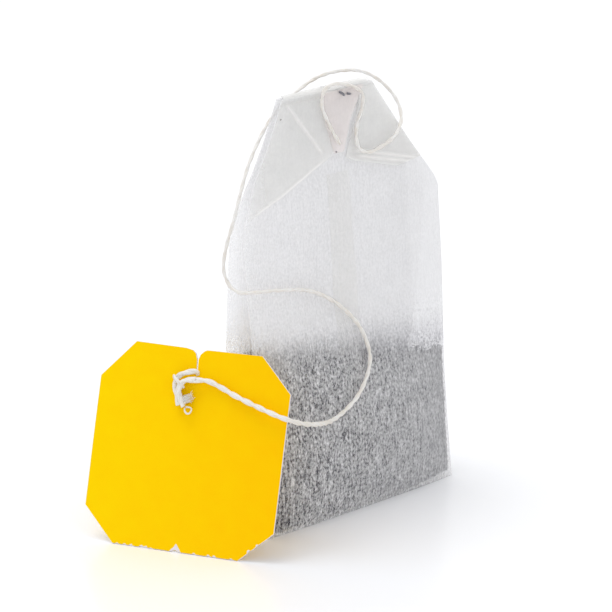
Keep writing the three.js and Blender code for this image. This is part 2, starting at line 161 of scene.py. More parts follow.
def bag_place() -> np.ndarray:
    """Where the bag's own origin lies in the frame of the CAD model.

    Returns:
        The place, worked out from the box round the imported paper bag.
    """
    low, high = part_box("filter_bag")
    widest_left = min(x for _, x in BagForm.left_edge)
    return np.array([low.x - widest_left, (low.y + high.y) / 2, 0.0])


def slab(near: np.ndarray, far: np.ndarray, values: dict[str, np.ndarray] | None = None) -> Surface:
    """A closed sheet between two grids of points of the same shape.

    The near grid and the far grid are its two faces, and a strip of quads joins their four rims.

    Args:
        near: Rows by columns by 3. Seen from outside, columns run right and rows run up.
        far: The same grid on the other face.
        values: For each name, one number for each point of the grid, used on both faces.

    Returns:
        The closed surface.
    """
    rows, columns = near.shape[:2]
    a, b = np.arange(2 * rows * columns).reshape(2, rows, columns)
    strips = [
        (a[:-1, :-1], a[:-1, 1:], a[1:, 1:], a[1:, :-1]),
        (b[:-1, :-1], b[1:, :-1], b[1:, 1:], b[:-1, 1:]),
        (b[0, :-1], b[0, 1:], a[0, 1:], a[0, :-1]),
        (a[-1, :-1], a[-1, 1:], b[-1, 1:], b[-1, :-1]),
        (a[:-1, 0], a[1:, 0], b[1:, 0], b[:-1, 0]),
        (a[:-1, -1], b[:-1, -1], b[1:, -1], a[1:, -1]),
    ]
    quads = np.concatenate([np.stack([corner.ravel() for corner in strip], axis=1) for strip in strips])
    points = np.concatenate([near.reshape(-1, 3), far.reshape(-1, 3)])
    carried = {name: np.tile(grid.ravel(), 2) for name, grid in (values or {}).items()}
    return Surface(points, quads.tolist(), carried)


def gone_along(path: np.ndarray) -> np.ndarray:
    """How far along a path each of its points lies."""
    return np.concatenate([[0.0], np.cumsum(np.linalg.norm(np.diff(path, axis=0), axis=1))])


def frames_along(path: np.ndarray) -> tuple[np.ndarray, np.ndarray]:
    """Two directions square to a path at each of its points, which never twist about it.

    A fixed direction is made square to the path everywhere. The angle by which that frame turns
    between neighbouring points is summed along the path and taken out again.

    Args:
        path: Points along the path, N by 3.

    Returns:
        The two directions, each N by 3.
    """
    tangent = np.gradient(path, axis=0)
    tangent /= np.linalg.norm(tangent, axis=1, keepdims=True)
    fixed = np.array((0.31, 0.62, 0.72))
    side = fixed - (tangent @ fixed)[:, None] * tangent
    side /= np.linalg.norm(side, axis=1, keepdims=True)
    up = np.cross(tangent, side)
    carried = side[:-1] - (side[:-1] * tangent[1:]).sum(1, keepdims=True) * tangent[1:]
    turn = np.arctan2((carried * up[1:]).sum(1), (carried * side[1:]).sum(1))
    twist = np.concatenate([[0.0], np.cumsum(turn)])[:, None]
    return side * np.cos(twist) + up * np.sin(twist), up * np.cos(twist) - side * np.sin(twist)


def smooth_path(stops: np.ndarray, step: float) -> np.ndarray:
    """A centripetal Catmull-Rom curve through a list of points, with even steps along it.

    Between two stops the curve is the blend of three straight lines, then of two, then of one, each
    in proportion to knots that are spaced by the square root of the distance between stops.

    Args:
        stops: The points that the curve passes through, N by 3.
        step: The distance between the points that are returned.

    Returns:
        Points along the curve, M by 3.
    """
    whole = np.concatenate([[2 * stops[0] - stops[1]], stops, [2 * stops[-1] - stops[-2]]])
    knots = np.concatenate([[0.0], np.cumsum(np.sqrt(np.linalg.norm(np.diff(whole, axis=0), axis=1)))])
    p = [whole[i:len(whole) - 3 + i, None, :] for i in range(4)]
    k = [knots[i:len(knots) - 3 + i, None, None] for i in range(4)]
    share = np.linspace(0.0, 1.0, 24, endpoint=False)[None, :, None]
    t = k[1] + share * (k[2] - k[1])

    def mixed(a: np.ndarray, b: np.ndarray, low: np.ndarray, high: np.ndarray) -> np.ndarray:
        """The point between a and b that t marks between low and high."""
        return a + (t - low) / (high - low) * (b - a)

    first = [mixed(p[i], p[i + 1], k[i], k[i + 1]) for i in range(3)]
    second = [mixed(first[i], first[i + 1], k[i], k[i + 2]) for i in range(2)]
    curve = mixed(second[0], second[1], k[1], k[2]).reshape(-1, 3)
    curve = np.concatenate([curve, stops[-1:]])
    along = gone_along(curve)
    even = np.linspace(0.0, along[-1], max(4, math.ceil(along[-1] / step) + 1))
    return np.stack([np.interp(even, along, curve[:, axis]) for axis in range(3)], axis=1)


def length_of(path: np.ndarray) -> float:
    """The length of a path through its points."""
    return float(np.linalg.norm(np.diff(path, axis=0), axis=1).sum())


def ring_faces(rings: int, around: int, turned: bool = False) -> list[list[int]]:
    """The faces of a run of closed rings, with a fan that closes each end.

    The points are numbered ring by ring, and the two fans' middle points come after them.

    Args:
        rings: How many rings there are.
        around: How many points are in each.
        turned: Whether the faces look the other way.

    Returns:
        The faces, as lists of point numbers.
    """
    index = np.arange(rings * around).reshape(rings, around)
    after = np.roll(index, -1, axis=1)
    first, second = (after, index) if turned else (index, after)
    walls = np.stack([first[:-1], second[:-1], second[1:], first[1:]], axis=-1).reshape(-1, 4)
    walls = np.roll(walls, -1, axis=1) if turned else walls
    start, end = rings * around, rings * around + 1
    caps = [[start, b, a] for a, b in zip(first[0].tolist(), second[0].tolist())]
    caps += [[end, a, b] for a, b in zip(first[-1].tolist(), second[-1].tolist())]
    return walls.tolist() + caps


def tube(path: np.ndarray, radius: np.ndarray | float, sides: int,
         centre: np.ndarray | None = None) -> Surface:
    """A closed round tube.

    Each ring stands square to the path: centre + radius (side cos a + up sin a), for the angle a all
    round, and a point on the centre line closes each end.

    Args:
        path: Points along the path, N by 3.
        radius: One radius, or one for each point.
        sides: How many points are in a ring.
        centre: The rings' centres, where they aren't the path's own points.

    Returns:
        The tube. Each point carries "strand": how far along it is in millimetres, and the cosine
        and sine of its place round the ring.
    """
    middle = path if centre is None else centre
    side, up = frames_along(path)
    angle = np.linspace(0.0, 2 * math.pi, sides, endpoint=False)
    ring = side[:, None, :] * np.cos(angle)[None, :, None] + up[:, None, :] * np.sin(angle)[None, :, None]
    reach = np.broadcast_to(radius, len(path))[:, None, None]
    points = (middle[:, None, :] + reach * ring).reshape(-1, 3)
    along = gone_along(path) * 1000
    strand = np.stack(np.broadcast_arrays(
        along[:, None], np.cos(angle)[None, :], np.sin(angle)[None, :]), axis=-1).reshape(-1, 3)
    ends = np.array([[along[0], 0.0, 0.0], [along[-1], 0.0, 0.0]])
    return Surface(
        np.concatenate([points, middle[[0, -1]]]), ring_faces(len(path), sides),
        {"strand": np.concatenate([strand, ends])})


def ripples(u: np.ndarray, v: np.ndarray, wavelength: float, seed: int, count: int = 14) -> np.ndarray:
    """A smooth random relief between about -1 and 1.

    It is the sum of cosine waves whose directions and phases are random and whose lengths lie near
    the one given, divided by twice the square root of half their
    number.

    Args:
        u: One coordinate of each point, in metres.
        v: The other coordinate, of the same shape.
        wavelength: The usual distance between two crests.
        seed: Which relief of its kind this is.
        count: How many waves are summed.

    Returns:
        The relief at each point.
    """
    draw = np.random.default_rng(seed)
    heading = draw.uniform(0, 2 * math.pi, count)
    wave = 2 * math.pi / (wavelength * draw.uniform(0.6, 1.7, count))
    phase = draw.uniform(0, 2 * math.pi, count)
    waves = np.cos(
        u[..., None] * wave * np.cos(heading) + v[..., None] * wave * np.sin(heading) + phase)
    return waves.sum(-1) / math.sqrt(count / 2) / 2


def distance_to_line(x: np.ndarray, z: np.ndarray, line: Table) -> np.ndarray:
    """How far each point lies from a bent line.

    Args:
        x: One coordinate of each point.
        z: The other coordinate.
        line: The line's corners, as (x, z).

    Returns:
        The distance to the nearest of the line's straight stretches.
    """
    corners = np.array(line)
    nearest = np.full(x.shape, np.inf)
    for a, b in zip(corners[:-1], corners[1:]):
        span = b - a
        share = np.clip(((x - a[0]) * span[0] + (z - a[1]) * span[1]) / (span @ span), 0, 1)
        gap = np.hypot(x - a[0] - share * span[0], z - a[1] - share * span[1])
        nearest = np.minimum(nearest, gap)
    return nearest


# ---------------------------------------------------------------------------------------------
# Shader nodes
# ---------------------------------------------------------------------------------------------


class NodeSheet:
    """A node tree that is filled by naming each node's kind, settings and inputs."""

    def __init__(self, tree: bpy.types.NodeTree) -> None:
        """Takes the tree to fill.

        Args:
            tree: A material's or a group's node tree.
        """
        self.tree = tree

    def add(self, kind: str, inputs: dict | None = None, **settings) -> bpy.types.Node:
        """Adds a node.

        Args:
            kind: The node's type, without its "ShaderNode".
            inputs: For each input, by name or number, a plain value or the output to link to it.
            **settings: The node's own properties.

        Returns:
            The new node.
        """
        node = self.tree.nodes.new("ShaderNode" + kind)
        for label, value in settings.items():
            setattr(node, label, value)
        self.feed(node, inputs or {})
        return node

    def feed(self, node: bpy.types.Node, inputs: dict) -> None:
        """Fills some of a node's inputs.

        Args:
            node: The node.
            inputs: For each input, by name or number, a plain value or the output to link to it.
        """
        for label, value in inputs.items():
            if isinstance(value, bpy.types.NodeSocket):
                self.tree.links.new(value, node.inputs[label])
            else:
                node.inputs[label].default_value = value

    def attribute(self, name: str, output: str) -> bpy.types.NodeSocket:
        """The values that a mesh carries under a name, as "Fac" or as "Vector"."""
        return self.add("Attribute", attribute_name=name, attribute_type="GEOMETRY").outputs[output]

    def bump(self, height: bpy.types.NodeSocket, strength: float, distance: float) -> bpy.types.NodeSocket:
        """The normal of a relief, from its height, its strength and its depth in metres."""
        return self.add("Bump", {"Strength": strength, "Distance": distance, "Height": height}).outputs[0]

    def noise(self, place: bpy.types.NodeSocket, scale: float | bpy.types.NodeSocket, detail: float = 2.0,
              rough: float = 0.5) -> bpy.types.NodeSocket:
        """Noise between 0 and 1.

        Args:
            place: The coordinates that it reads.
            scale: How many lumps there are in one unit of them.
            detail: How many finer layers are added.
            rough: How strong those layers are.

        Returns:
            The noise's output.
        """
        node = self.add("TexNoise", {"Vector": place, "Scale": scale, "Detail": detail, "Roughness": rough})
        return node.outputs[0]

    def stretched(self, place: bpy.types.NodeSocket, scale: tuple[float, float, float],
                  turn: tuple[float, float, float] = (0, 0, 0)) -> bpy.types.NodeSocket:
        """Coordinates that are turned and stretched.

        Args:
            place: The coordinates that it reads.
            scale: The factor along each axis.
            turn: The angles about each axis.

        Returns:
            The new coordinates.
        """
        node = self.add("Mapping", {"Vector": place, "Scale": scale, "Rotation": turn})
        return node.outputs[0]

    def spread(self, value: bpy.types.NodeSocket, low: float, high: float, start: float = 0.0,
               end: float = 1.0) -> bpy.types.NodeSocket:
        """Maps a range of a value onto another, and cuts off what lies outside.

        Args:
            value: The value that is read.
            low: The value that gives start.
            high: The value that gives end.
            start: The result at low.
            end: The result at high.

        Returns:
            The mapped value.
        """
        node = self.add("MapRange", {
            "Value": value, "From Min": low, "From Max": high, "To Min": start, "To Max": end})
        return node.outputs[0]

    def line(self, place: bpy.types.NodeSocket, start: Sequence[float], end: Sequence[float],
             width: float) -> bpy.types.NodeSocket:
        """A soft straight line on the xz plane, 1 along its middle and 0 beyond its width and ends.

        Args:
            place: Where to look, in millimetres.
            start: The line's first end, as (x, z).
            end: Its other end.
            width: How far from the middle it fades to 0.

        Returns:
            The line.
        """
        long, rise = end[0] - start[0], end[1] - start[1]
        turned = self.add("Mapping", {
            "Vector": place, "Location": ((start[0] + end[0]) / 2, 0.0, (start[1] + end[1]) / 2),
            "Rotation": (0.0, -math.atan2(rise, long), 0.0),
            "Scale": (math.hypot(long, rise) / 2, 1.0, width)}, vector_type="TEXTURE")
        along, _, off = self.add("SeparateXYZ", {0: turned.outputs[0]}).outputs
        core = self.spread(self.maths("ABSOLUTE", off), 0.0, 1.0, 1.0, 0.0)
        return self.maths("MULTIPLY", core, self.spread(self.maths("ABSOLUTE", along), 0.75, 1.0, 1.0, 0.0))

    def maths(self, operation: str, a: bpy.types.NodeSocket | float,
              b: bpy.types.NodeSocket | float = 0.0) -> bpy.types.NodeSocket:
        """One sum on two values.

        Args:
            operation: ADD, MULTIPLY, SUBTRACT, MAXIMUM or another of the Math node's names.
            a: The first value.
            b: The second value.

        Returns:
            The result.
        """
        return self.add("Math", {0: a, 1: b}, operation=operation).outputs[0]

    def mixed(self, share: bpy.types.NodeSocket | float, first: Sequence[float] | bpy.types.NodeSocket,
              second: Sequence[float] | bpy.types.NodeSocket) -> bpy.types.NodeSocket:
        """A colour between two.

        Args:
            share: 0 for the first colour, 1 for the second.
            first: The first colour.
            second: The second colour.

        Returns:
            The mixed colour.
        """
        return self.add("Mix", {0: share, 6: first, 7: second}, data_type="RGBA").outputs[2]


class EffectGroup:
    """A shader node group with named inputs and outputs, built once and shared."""

    def __init__(self, name: str, numbers: dict[str, float], outputs: Sequence[str]) -> None:
        """Makes the group and its sockets.

        Args:
            name: The group's name.
            numbers: For each number that it takes, the usual value.
            outputs: The names of the values that it gives.
        """
        self.tree = bpy.data.node_groups.new(name, "ShaderNodeTree")
        self.tree.interface.new_socket("Place", in_out="INPUT", socket_type="NodeSocketVector")
        for label, usual in numbers.items():
            socket = self.tree.interface.new_socket(label, in_out="INPUT", socket_type="NodeSocketFloat")
            socket.default_value = usual
        for label in outputs:
            self.tree.interface.new_socket(label, in_out="OUTPUT", socket_type="NodeSocketFloat")
        self.sheet = NodeSheet(self.tree)
        self.taken = self.tree.nodes.new("NodeGroupInput").outputs
        self.given = self.tree.nodes.new("NodeGroupOutput").inputs

    def give(self, label: str, value: bpy.types.NodeSocket) -> None:
        """Sends a value out of the group under a name."""
        self.tree.links.new(value, self.given[label])

    def placed(self, sheet: NodeSheet, place: bpy.types.NodeSocket, **numbers: float) -> bpy.types.Node:
        """Puts the group into a material.

        Args:
            sheet: The material's nodes.
            place: The coordinates that the group reads, in millimetres.
            **numbers: Values for the group's numbers in this material.

        Returns:
            The group node.
        """
        return sheet.add("Group", {"Place": place, **numbers}, node_tree=self.tree)


def fibre_group() -> EffectGroup:
    """The look of wet-laid filter paper, which all the bag's folds and also the card share.

    Returns:
        A group that gives Cloud, broad uneven density; Rib, fine upright crepe lines; Fleck, single
        long fibres; and Height, all of them as relief.
    """
    group = EffectGroup("paper_fibres", {"Rib Scale": 3.3, "Fibre Scale": 1.1}, FIBRE_OUTPUTS)
    sheet, place = group.sheet, group.taken["Place"]
    cloud = sheet.noise(place, 0.35, 3.0)
    short = sheet.stretched(place, (1.0, 1.0, 0.65))
    crepe = sheet.noise(short, group.taken["Rib Scale"], 2.0, 0.6)
    upright = sheet.stretched(place, (1.0, 1.0, 0.07))
    streak = sheet.noise(upright, 2.8, 2.0)
    rib = sheet.maths("ADD", sheet.maths("MULTIPLY", crepe, 0.7), sheet.maths("MULTIPLY", streak, 0.3))
    leaning = sheet.stretched(place, (0.3, 1.0, 2.4), (0.0, 0.5, 0.0))
    fleck_node = sheet.add("TexNoise", {"Vector": leaning, "Scale": group.taken["Fibre Scale"], "Detail": 2.0,
                                        "Distortion": 0.8})
    fleck = sheet.spread(fleck_node.outputs[0], 0.56, 0.66)
    height = sheet.maths("ADD", sheet.maths("MULTIPLY", rib, 0.7), sheet.maths("MULTIPLY", fleck, 0.25))
    for label, value in zip(FIBRE_OUTPUTS, (cloud, rib, fleck, height)):
        group.give(label, value)
    return group


def millimetres(sheet: NodeSheet) -> bpy.types.NodeSocket:
    """An object's own coordinates, in millimetres.

    Args:
        sheet: The material's nodes.

    Returns:
        The coordinates.
    """
    return sheet.stretched(sheet.add("TexCoord").outputs["Object"], (1000.0, 1000.0, 1000.0))


def new_material(name: str) -> tuple[bpy.types.Material, NodeSheet, bpy.types.Node]:
    """An empty node material.

    Args:
        name: The material's name.

    Returns:
        The material, its nodes and its Principled shader.
    """
    material = bpy.data.materials.new(name)
    material.use_nodes = True
    sheet = NodeSheet(material.node_tree)
    return material, sheet, material.node_tree.nodes["Principled BSDF"]


# ---------------------------------------------------------------------------------------------
# Finishes
# ---------------------------------------------------------------------------------------------


@dataclass(frozen=True)
class PaperFinish:
    """Thin filter paper that partly hides what lies behind it.

    The cover is the share of light that the fibres stop. It is uneven: dense in the clouds and along
    the ribs, and thin between them, so that what touches the paper from behind shows in fine lines.
    The creases and every place in the patterns are in millimetres of the CAD model's frame. The tea
    slope is how far the tea's top edge falls for each millimetre to the right.
    """

    name: str
    cover: float
    colour: tuple[float, float, float, float] = (0.945, 0.94, 0.945, 1.0)
    rib_reach: float = 0.46
    cloud_reach: float = 0.02
    foot_cover: float = 1.0
    relief: float = 0.05
    dust: tuple[float, float, float, float] = (0.40, 0.385, 0.44, 1.0)
    pinch: float = 0.0
    right_gain: float = 0.08
    left_loss: float = 0.2
    fleck_cover: float = 0.01
    creases: tuple[tuple[Point, Point], ...] = ()
    crease_width: float = 0.42
    crease_cover: float = 0.34
    # Painted highlight: the near-white colour laid along each crease, where its ridge would catch the light.
    crease_highlight_colour: tuple[float, float, float, float] = (1.0, 0.985, 0.965, 1.0)
    tea_slope: float = 0.111

    def material(self, fibres: EffectGroup) -> bpy.types.Material:
        """Builds the finish.

        The ribs show where tea presses against the paper, most at the left, and hardly above it.
        Fine dust clings to the paper just above the tea, most at the right. Where the chambers pinch
        at the right the paper is denser, at the left it is thinner, and along a crease it is denser and
        painted near white, a painted highlight of the crease's ridge.

        Args:
            fibres: The shared fibre pattern.

        Returns:
            The material.
        """
        material, sheet, shader = new_material(self.name)
        place = millimetres(sheet)
        look = fibres.placed(sheet, place)
        across, _, height = sheet.add("SeparateXYZ", {0: place}).outputs
        ribbed = sheet.spread(look.outputs["Rib"], 0.3, 0.7, -self.rib_reach, self.rib_reach)
        ribbed = sheet.maths("MULTIPLY", ribbed, sheet.spread(across, 0.0, 26.0, 1.0, 0.45))
        ribbed = sheet.maths("MULTIPLY", ribbed, sheet.spread(height, 23.0, 30.0, 1.0, 0.25))
        clouded = sheet.spread(look.outputs["Cloud"], 0.3, 0.7, -self.cloud_reach, self.cloud_reach)
        level = sheet.maths(
            "MULTIPLY", sheet.spread(across, -4.0, 26.0, self.cover, self.cover + self.right_gain),
            sheet.spread(height, 22.0, 31.0, self.foot_cover, 1.0))
        pinched = sheet.maths(
            "MULTIPLY", sheet.spread(across, 20.4, 21.6, 0.0, self.pinch), sheet.spread(height, 20.5, 23.5))
        thinned = sheet.spread(across, -11.0, -7.0, -self.left_loss, 0.0)
        level = sheet.maths("ADD", level, sheet.maths("ADD", pinched, thinned))
        cover = sheet.maths("ADD", sheet.maths("ADD", ribbed, clouded), level)
        cover = sheet.maths("ADD", cover, sheet.maths("MULTIPLY", look.outputs["Fleck"], self.fleck_cover))
        crease_highlight_line = 0.0
        # Painted highlight: a soft line along each crease, which makes the paper denser and paints it whiter there.
        for start, end in self.creases:
            crease_highlight_line = sheet.maths("MAXIMUM", sheet.line(place, start, end, self.crease_width), crease_highlight_line)
        if self.creases:
            cover = sheet.maths("ADD", cover, sheet.maths("MULTIPLY", crease_highlight_line, self.crease_cover))
        shade = tuple(0.985 * part for part in self.colour[:3]) + (1.0,)
        clean = sheet.mixed(look.outputs["Cloud"], shade, self.colour)
        above = sheet.maths("ADD", height, sheet.maths("MULTIPLY", across, self.tea_slope))
        dusty = sheet.maths(
            "MULTIPLY", sheet.spread(above, 24.0, 28.6, 0.55, 0.0), sheet.spread(across, 0.0, 24.0, 0.25, 1.0))
        dusty = sheet.maths("MULTIPLY", dusty, sheet.spread(look.outputs["Rib"], 0.35, 0.65, 1.1, 0.5))
        dusty = sheet.maths("MULTIPLY", dusty, sheet.spread(above, 22.5, 25.0, 0.12, 1.0))
        tint = sheet.mixed(dusty, clean, self.dust)
        if self.creases:
            # The crease lines are painted near white, a painted highlight.
            tint = sheet.mixed(crease_highlight_line, tint, self.crease_highlight_colour)
        sheet.feed(shader, {
            "Base Color": tint, "Alpha": sheet.spread(cover, 0.0, 1.0), "Roughness": 0.85,
            "Specular IOR Level": 0.15, "Normal": sheet.bump(look.outputs["Height"], self.relief, 0.0001)})
        return material


@dataclass(frozen=True)
class TeaFinish:
    """Dry cut leaf: dark flakes with brown, tan and green ones among them."""

    name: str = "cut_leaf"
    dark: tuple[float, float, float, float] = (0.009, 0.008, 0.018, 1.0)
    brown: tuple[float, float, float, float] = (0.043, 0.036, 0.056, 1.0)
    tan: tuple[float, float, float, float] = (0.20, 0.15, 0.12, 1.0)
    green: tuple[float, float, float, float] = (0.16, 0.165, 0.10, 1.0)

    def material(self) -> bpy.types.Material:
        """Builds the finish. Each flake's own tone picks its colour.

        Returns:
            The material.
        """
        material, sheet, shader = new_material(self.name)
        tone = sheet.attribute("tone", "Fac")
        grain = sheet.noise(millimetres(sheet), 4.0, 3.0, 0.6)
        mixed = sheet.maths("ADD", tone, sheet.spread(grain, 0.3, 0.7, -0.12, 0.12))
        ramp = sheet.add("ValToRGB", {"Fac": mixed})
        stops = [(0.0, self.dark), (0.55, self.brown), (0.82, self.tan), (0.9, self.green)]
        while len(ramp.color_ramp.elements) < len(stops):
            ramp.color_ramp.elements.new(0.5)
        for element, (at, colour) in zip(ramp.color_ramp.elements, stops):
            element.position = at
            element.color = colour
        sheet.feed(shader, {
            "Base Color": ramp.outputs[0], "Normal": sheet.bump(grain, 0.6, 0.0001), "Roughness": 0.8,
            "Specular IOR Level": 0.3})
        return material


@dataclass(frozen=True)
class CottonFinish:
    """Soft unbleached cotton: fine fibres that run along each ply, and a warm tone between them, which is also
    painted towards the string's outline as a painted shade, where its surface turns away.
    """

    name: str = "cotton_twist"
    light: tuple[float, float, float, float] = (0.89, 0.885, 0.87, 1.0)
    warm: tuple[float, float, float, float] = (0.76, 0.70, 0.62, 1.0)

    def material(self) -> bpy.types.Material:
        """Builds the finish.

        Returns:
            The material.
        """
        material, sheet, shader = new_material(self.name)
        strand = sheet.attribute("strand", "Vector")
        lines = sheet.noise(sheet.stretched(strand, (0.9, 2.6, 2.6)), 1.6, 3.0, 0.6)
        patches = sheet.noise(sheet.stretched(strand, (0.35, 0.5, 0.5)), 1.0, 2.0)
        share = sheet.maths("ADD", sheet.spread(lines, 0.35, 0.7), sheet.spread(patches, 0.35, 0.75, -0.3, 0.3))
        # Painted shade: the string is painted warmer and darker towards its outline, where its surface turns away
        # from view.
        rim = sheet.add("LayerWeight", {"Blend": 0.35}).outputs["Facing"]
        share = sheet.maths("ADD", share, sheet.spread(rim, 0.3, 0.9, 0.0, 0.9))
        colour = sheet.mixed(sheet.spread(share, 0.0, 1.0), self.light, self.warm)
        sheet.feed(shader, {
            "Base Color": colour, "Normal": sheet.bump(lines, 0.5, 0.00005), "Roughness": 0.9,
            "Specular IOR Level": 0.1, "Sheen Weight": 0.3})
        return material


@dataclass(frozen=True)
class WireFinish:
    """Drawn steel wire, dulled along its length by fine lines."""

    name: str = "drawn_wire"
    colour: tuple[float, float, float, float] = (0.30, 0.30, 0.33, 1.0)

    def material(self) -> bpy.types.Material:
        """Builds the finish.

        Returns:
            The material.
        """
        material, sheet, shader = new_material(self.name)
        strand = sheet.attribute("strand", "Vector")
        lines = sheet.noise(sheet.stretched(strand, (0.4, 4.0, 4.0)), 2.0, 3.0)
        dark = tuple(0.55 * part for part in self.colour[:3]) + (1.0,)
        sheet.feed(shader, {
            "Base Color": sheet.mixed(lines, dark, self.colour),
            "Roughness": sheet.spread(lines, 0.3, 0.7, 0.25, 0.5), "Metallic": 1.0})
        return material


@dataclass(frozen=True)
class CardFinish:
    """Thin coated card: a smooth coloured face, and a pale fibrous edge wherever it is cut or torn."""

    name: str = "coated_card"
    # The face runs from the left colour to a deeper orange right colour, a painted shade of the card's bend.
    left: tuple[float, float, float, float] = (1.0, 0.68, 0.0, 1.0)
    right: tuple[float, float, float, float] = (1.0, 0.56, 0.0, 1.0)
    edge: tuple[float, float, float, float] = (0.80, 0.76, 0.80, 1.0)

    def material(self, fibres: EffectGroup) -> bpy.types.Material:
        """Builds the finish. The tone moves a little from one side of the card to the other: a deeper orange to the
        right, a painted shade of the card's slight bend along its crease.

        Args:
            fibres: The shared fibre pattern.

        Returns:
            The material.
        """
        material, sheet, shader = new_material(self.name)
        spot = sheet.attribute("card", "Vector")
        across = sheet.add("SeparateXYZ", {0: spot})
        look = fibres.placed(sheet, spot, **{"Rib Scale": 3.0, "Fibre Scale": 2.0})
        # Painted shade: deeper orange towards the right, where the card bends away along its crease; the cloud adds a
        # random tone.
        tone_and_bend_shade = sheet.spread(across.outputs[0], -15.0, 15.0, 0.1, 0.9)
        tone_and_bend_shade = sheet.maths("ADD", tone_and_bend_shade, sheet.spread(look.outputs["Cloud"], 0.3, 0.7, -0.12, 0.12))
        face = sheet.mixed(sheet.spread(tone_and_bend_shade, 0.0, 1.0), self.left, self.right)
        rim = sheet.attribute("rim", "Fac")
        ragged = sheet.maths("ADD", rim, sheet.spread(look.outputs["Rib"], 0.3, 0.7, -0.2, 0.2))
        torn = sheet.spread(ragged, 0.45, 0.6)
        sheet.feed(shader, {
            "Base Color": sheet.mixed(torn, face, self.edge),
            "Roughness": sheet.spread(look.outputs["Cloud"], 0.3, 0.7, 0.36, 0.5),
            "Normal": sheet.bump(look.outputs["Height"], 0.05, 0.00005), "Specular IOR Level": 0.03})
        return material


# ---------------------------------------------------------------------------------------------
# The folded paper
# ---------------------------------------------------------------------------------------------


@dataclass(frozen=True)
class BagForm:
    """The form that every sheet of the folded bag shares: side folds, tilt and fill.

    left_edge and right_edge are the side folds as (height, x). The two chambers part towards the
    ground like a tent, and each is thickest where the tea lies.
    """

    height: float = 0.0626
    left_edge: Table = (
        (0.0, -0.0196), (0.008, -0.0193), (0.020, -0.0194), (0.035, -0.0200), (0.0424, -0.0202),
        (0.046, -0.0194), (0.0506, -0.0175), (0.056, -0.0145), (0.0626, -0.0115),
    )
    right_edge: Table = (
        (0.0, 0.0197), (0.008, 0.0194), (0.018, 0.0193), (0.032, 0.0199), (0.0445, 0.0200),
        (0.0458, 0.0194), (0.0626, 0.0061),
    )
    fold_half: float = 0.00007
    empty_half: float = 0.00047
    fill_bulge: float = 0.00175
    fullest_height: float = 0.010
    slack_height: float = 0.034
    foot_spread: float = 0.005
    shoulder_height: float = 0.046
    shoulder_spread: float = 0.0011
    head_height: float = 0.053
    head_spread: float = 0.0005
    creases: tuple[Table, ...] = (
        ((0.00205, 0.0495), (0.0079, 0.0484)),
        ((0.0006, 0.0530), (0.0016, 0.0500), (0.0030, 0.0488), (0.0075, 0.0482)),
        ((-0.0185, 0.0405), (-0.0135, 0.0395)),
        ((-0.0190, 0.0370), (-0.0120, 0.0330), (-0.0060, 0.0315)),
        ((0.0120, 0.0470), (0.0185, 0.0420)),
    )

    def edges(self, z: np.ndarray) -> tuple[np.ndarray, np.ndarray]:
        """The x of the left and the right side fold at some heights."""
        left, right = np.array(self.left_edge), np.array(self.right_edge)
        return np.interp(z, left[:, 0], left[:, 1]), np.interp(z, right[:, 0], right[:, 1])

    def spread(self, z: np.ndarray) -> np.ndarray:
        """How far the middle of a chamber lies from the middle of the bag.

        It falls in a straight line from the foot to the shoulder, and then eases to the head.

        Args:
            z: Heights.

        Returns:
            The distance at each height.
        """
        low = np.interp(z, [0.0, self.shoulder_height], [self.foot_spread, self.shoulder_spread])
        share = np.clip((z - self.shoulder_height) / (self.head_height - self.shoulder_height), 0, 1)
        closed = share * share * (3 - 2 * share)
        return np.where(z < self.shoulder_height, low,
                        self.shoulder_spread + closed * (self.head_spread - self.shoulder_spread))

    def half_thickness(self, x: np.ndarray, z: np.ndarray) -> np.ndarray:
        """Half the thickness of a chamber.

        The fill rises as a sine from the foot to the fullest height and falls as a cosine to the
        slack height. Across the chamber it falls off with the fourth power towards the side folds.

        Args:
            x: Where across the bag.
            z: Heights, of the same shape.

        Returns:
            The half thickness at each point.
        """
        left, right = self.edges(z)
        across = np.clip((2 * x - left - right) / (right - left), -1, 1)
        rising = np.clip(z / self.fullest_height, 0, 1)
        falling = np.clip((z - self.fullest_height) / (self.slack_height - self.fullest_height), 0, 1)
        fill = np.sin(rising * math.pi / 2) ** 0.8 * (1 + np.cos(falling * math.pi)) / 2
        middle = self.empty_half + self.fill_bulge * fill
        return self.fold_half + (middle - self.fold_half) * (1 - across ** 4)

    def relief(self, x: np.ndarray, z: np.ndarray, side: Side) -> np.ndarray:
        """How far the paper stands off its smooth form: soft dents, and the creases on the front.

        Args:
            x: Where across the bag.
            z: Heights, of the same shape.
            side: Which chamber.

        Returns:
            The offset, outwards where it is positive.
        """
        seed = 11 if side is Side.FRONT else 12
        broad = 0.00011 * ripples(x, z, 0.011, seed)
        small = 0.000035 * ripples(x, z * 0.8, 0.0032, seed + 10)
        low = np.clip(z / 0.004, 0, 1) * np.clip((self.height - z) / 0.004, 0, 1)
        left, right = self.edges(z)
        inner = np.clip(np.minimum(x - left, right - x) / 0.003, 0, 1)
        bent = (broad + small) * low * inner
        if side is Side.FRONT:
            for line in self.creases:
                away = distance_to_line(x, z, line)
                bent = bent + 0.00016 * np.exp(-(away / 0.00035) ** 2) - 0.00012 * np.exp(-(away / 0.0012) ** 2)
        return bent

    def face(self, x: np.ndarray, z: np.ndarray, side: Side, lift: np.ndarray | float = 0.0) -> np.ndarray:
        """The y of a chamber's outer face, or of a sheet that stands off it by a lift."""
        out = self.spread(z) + self.half_thickness(x, z) + self.relief(x, z, side) + lift
        return side.value * out


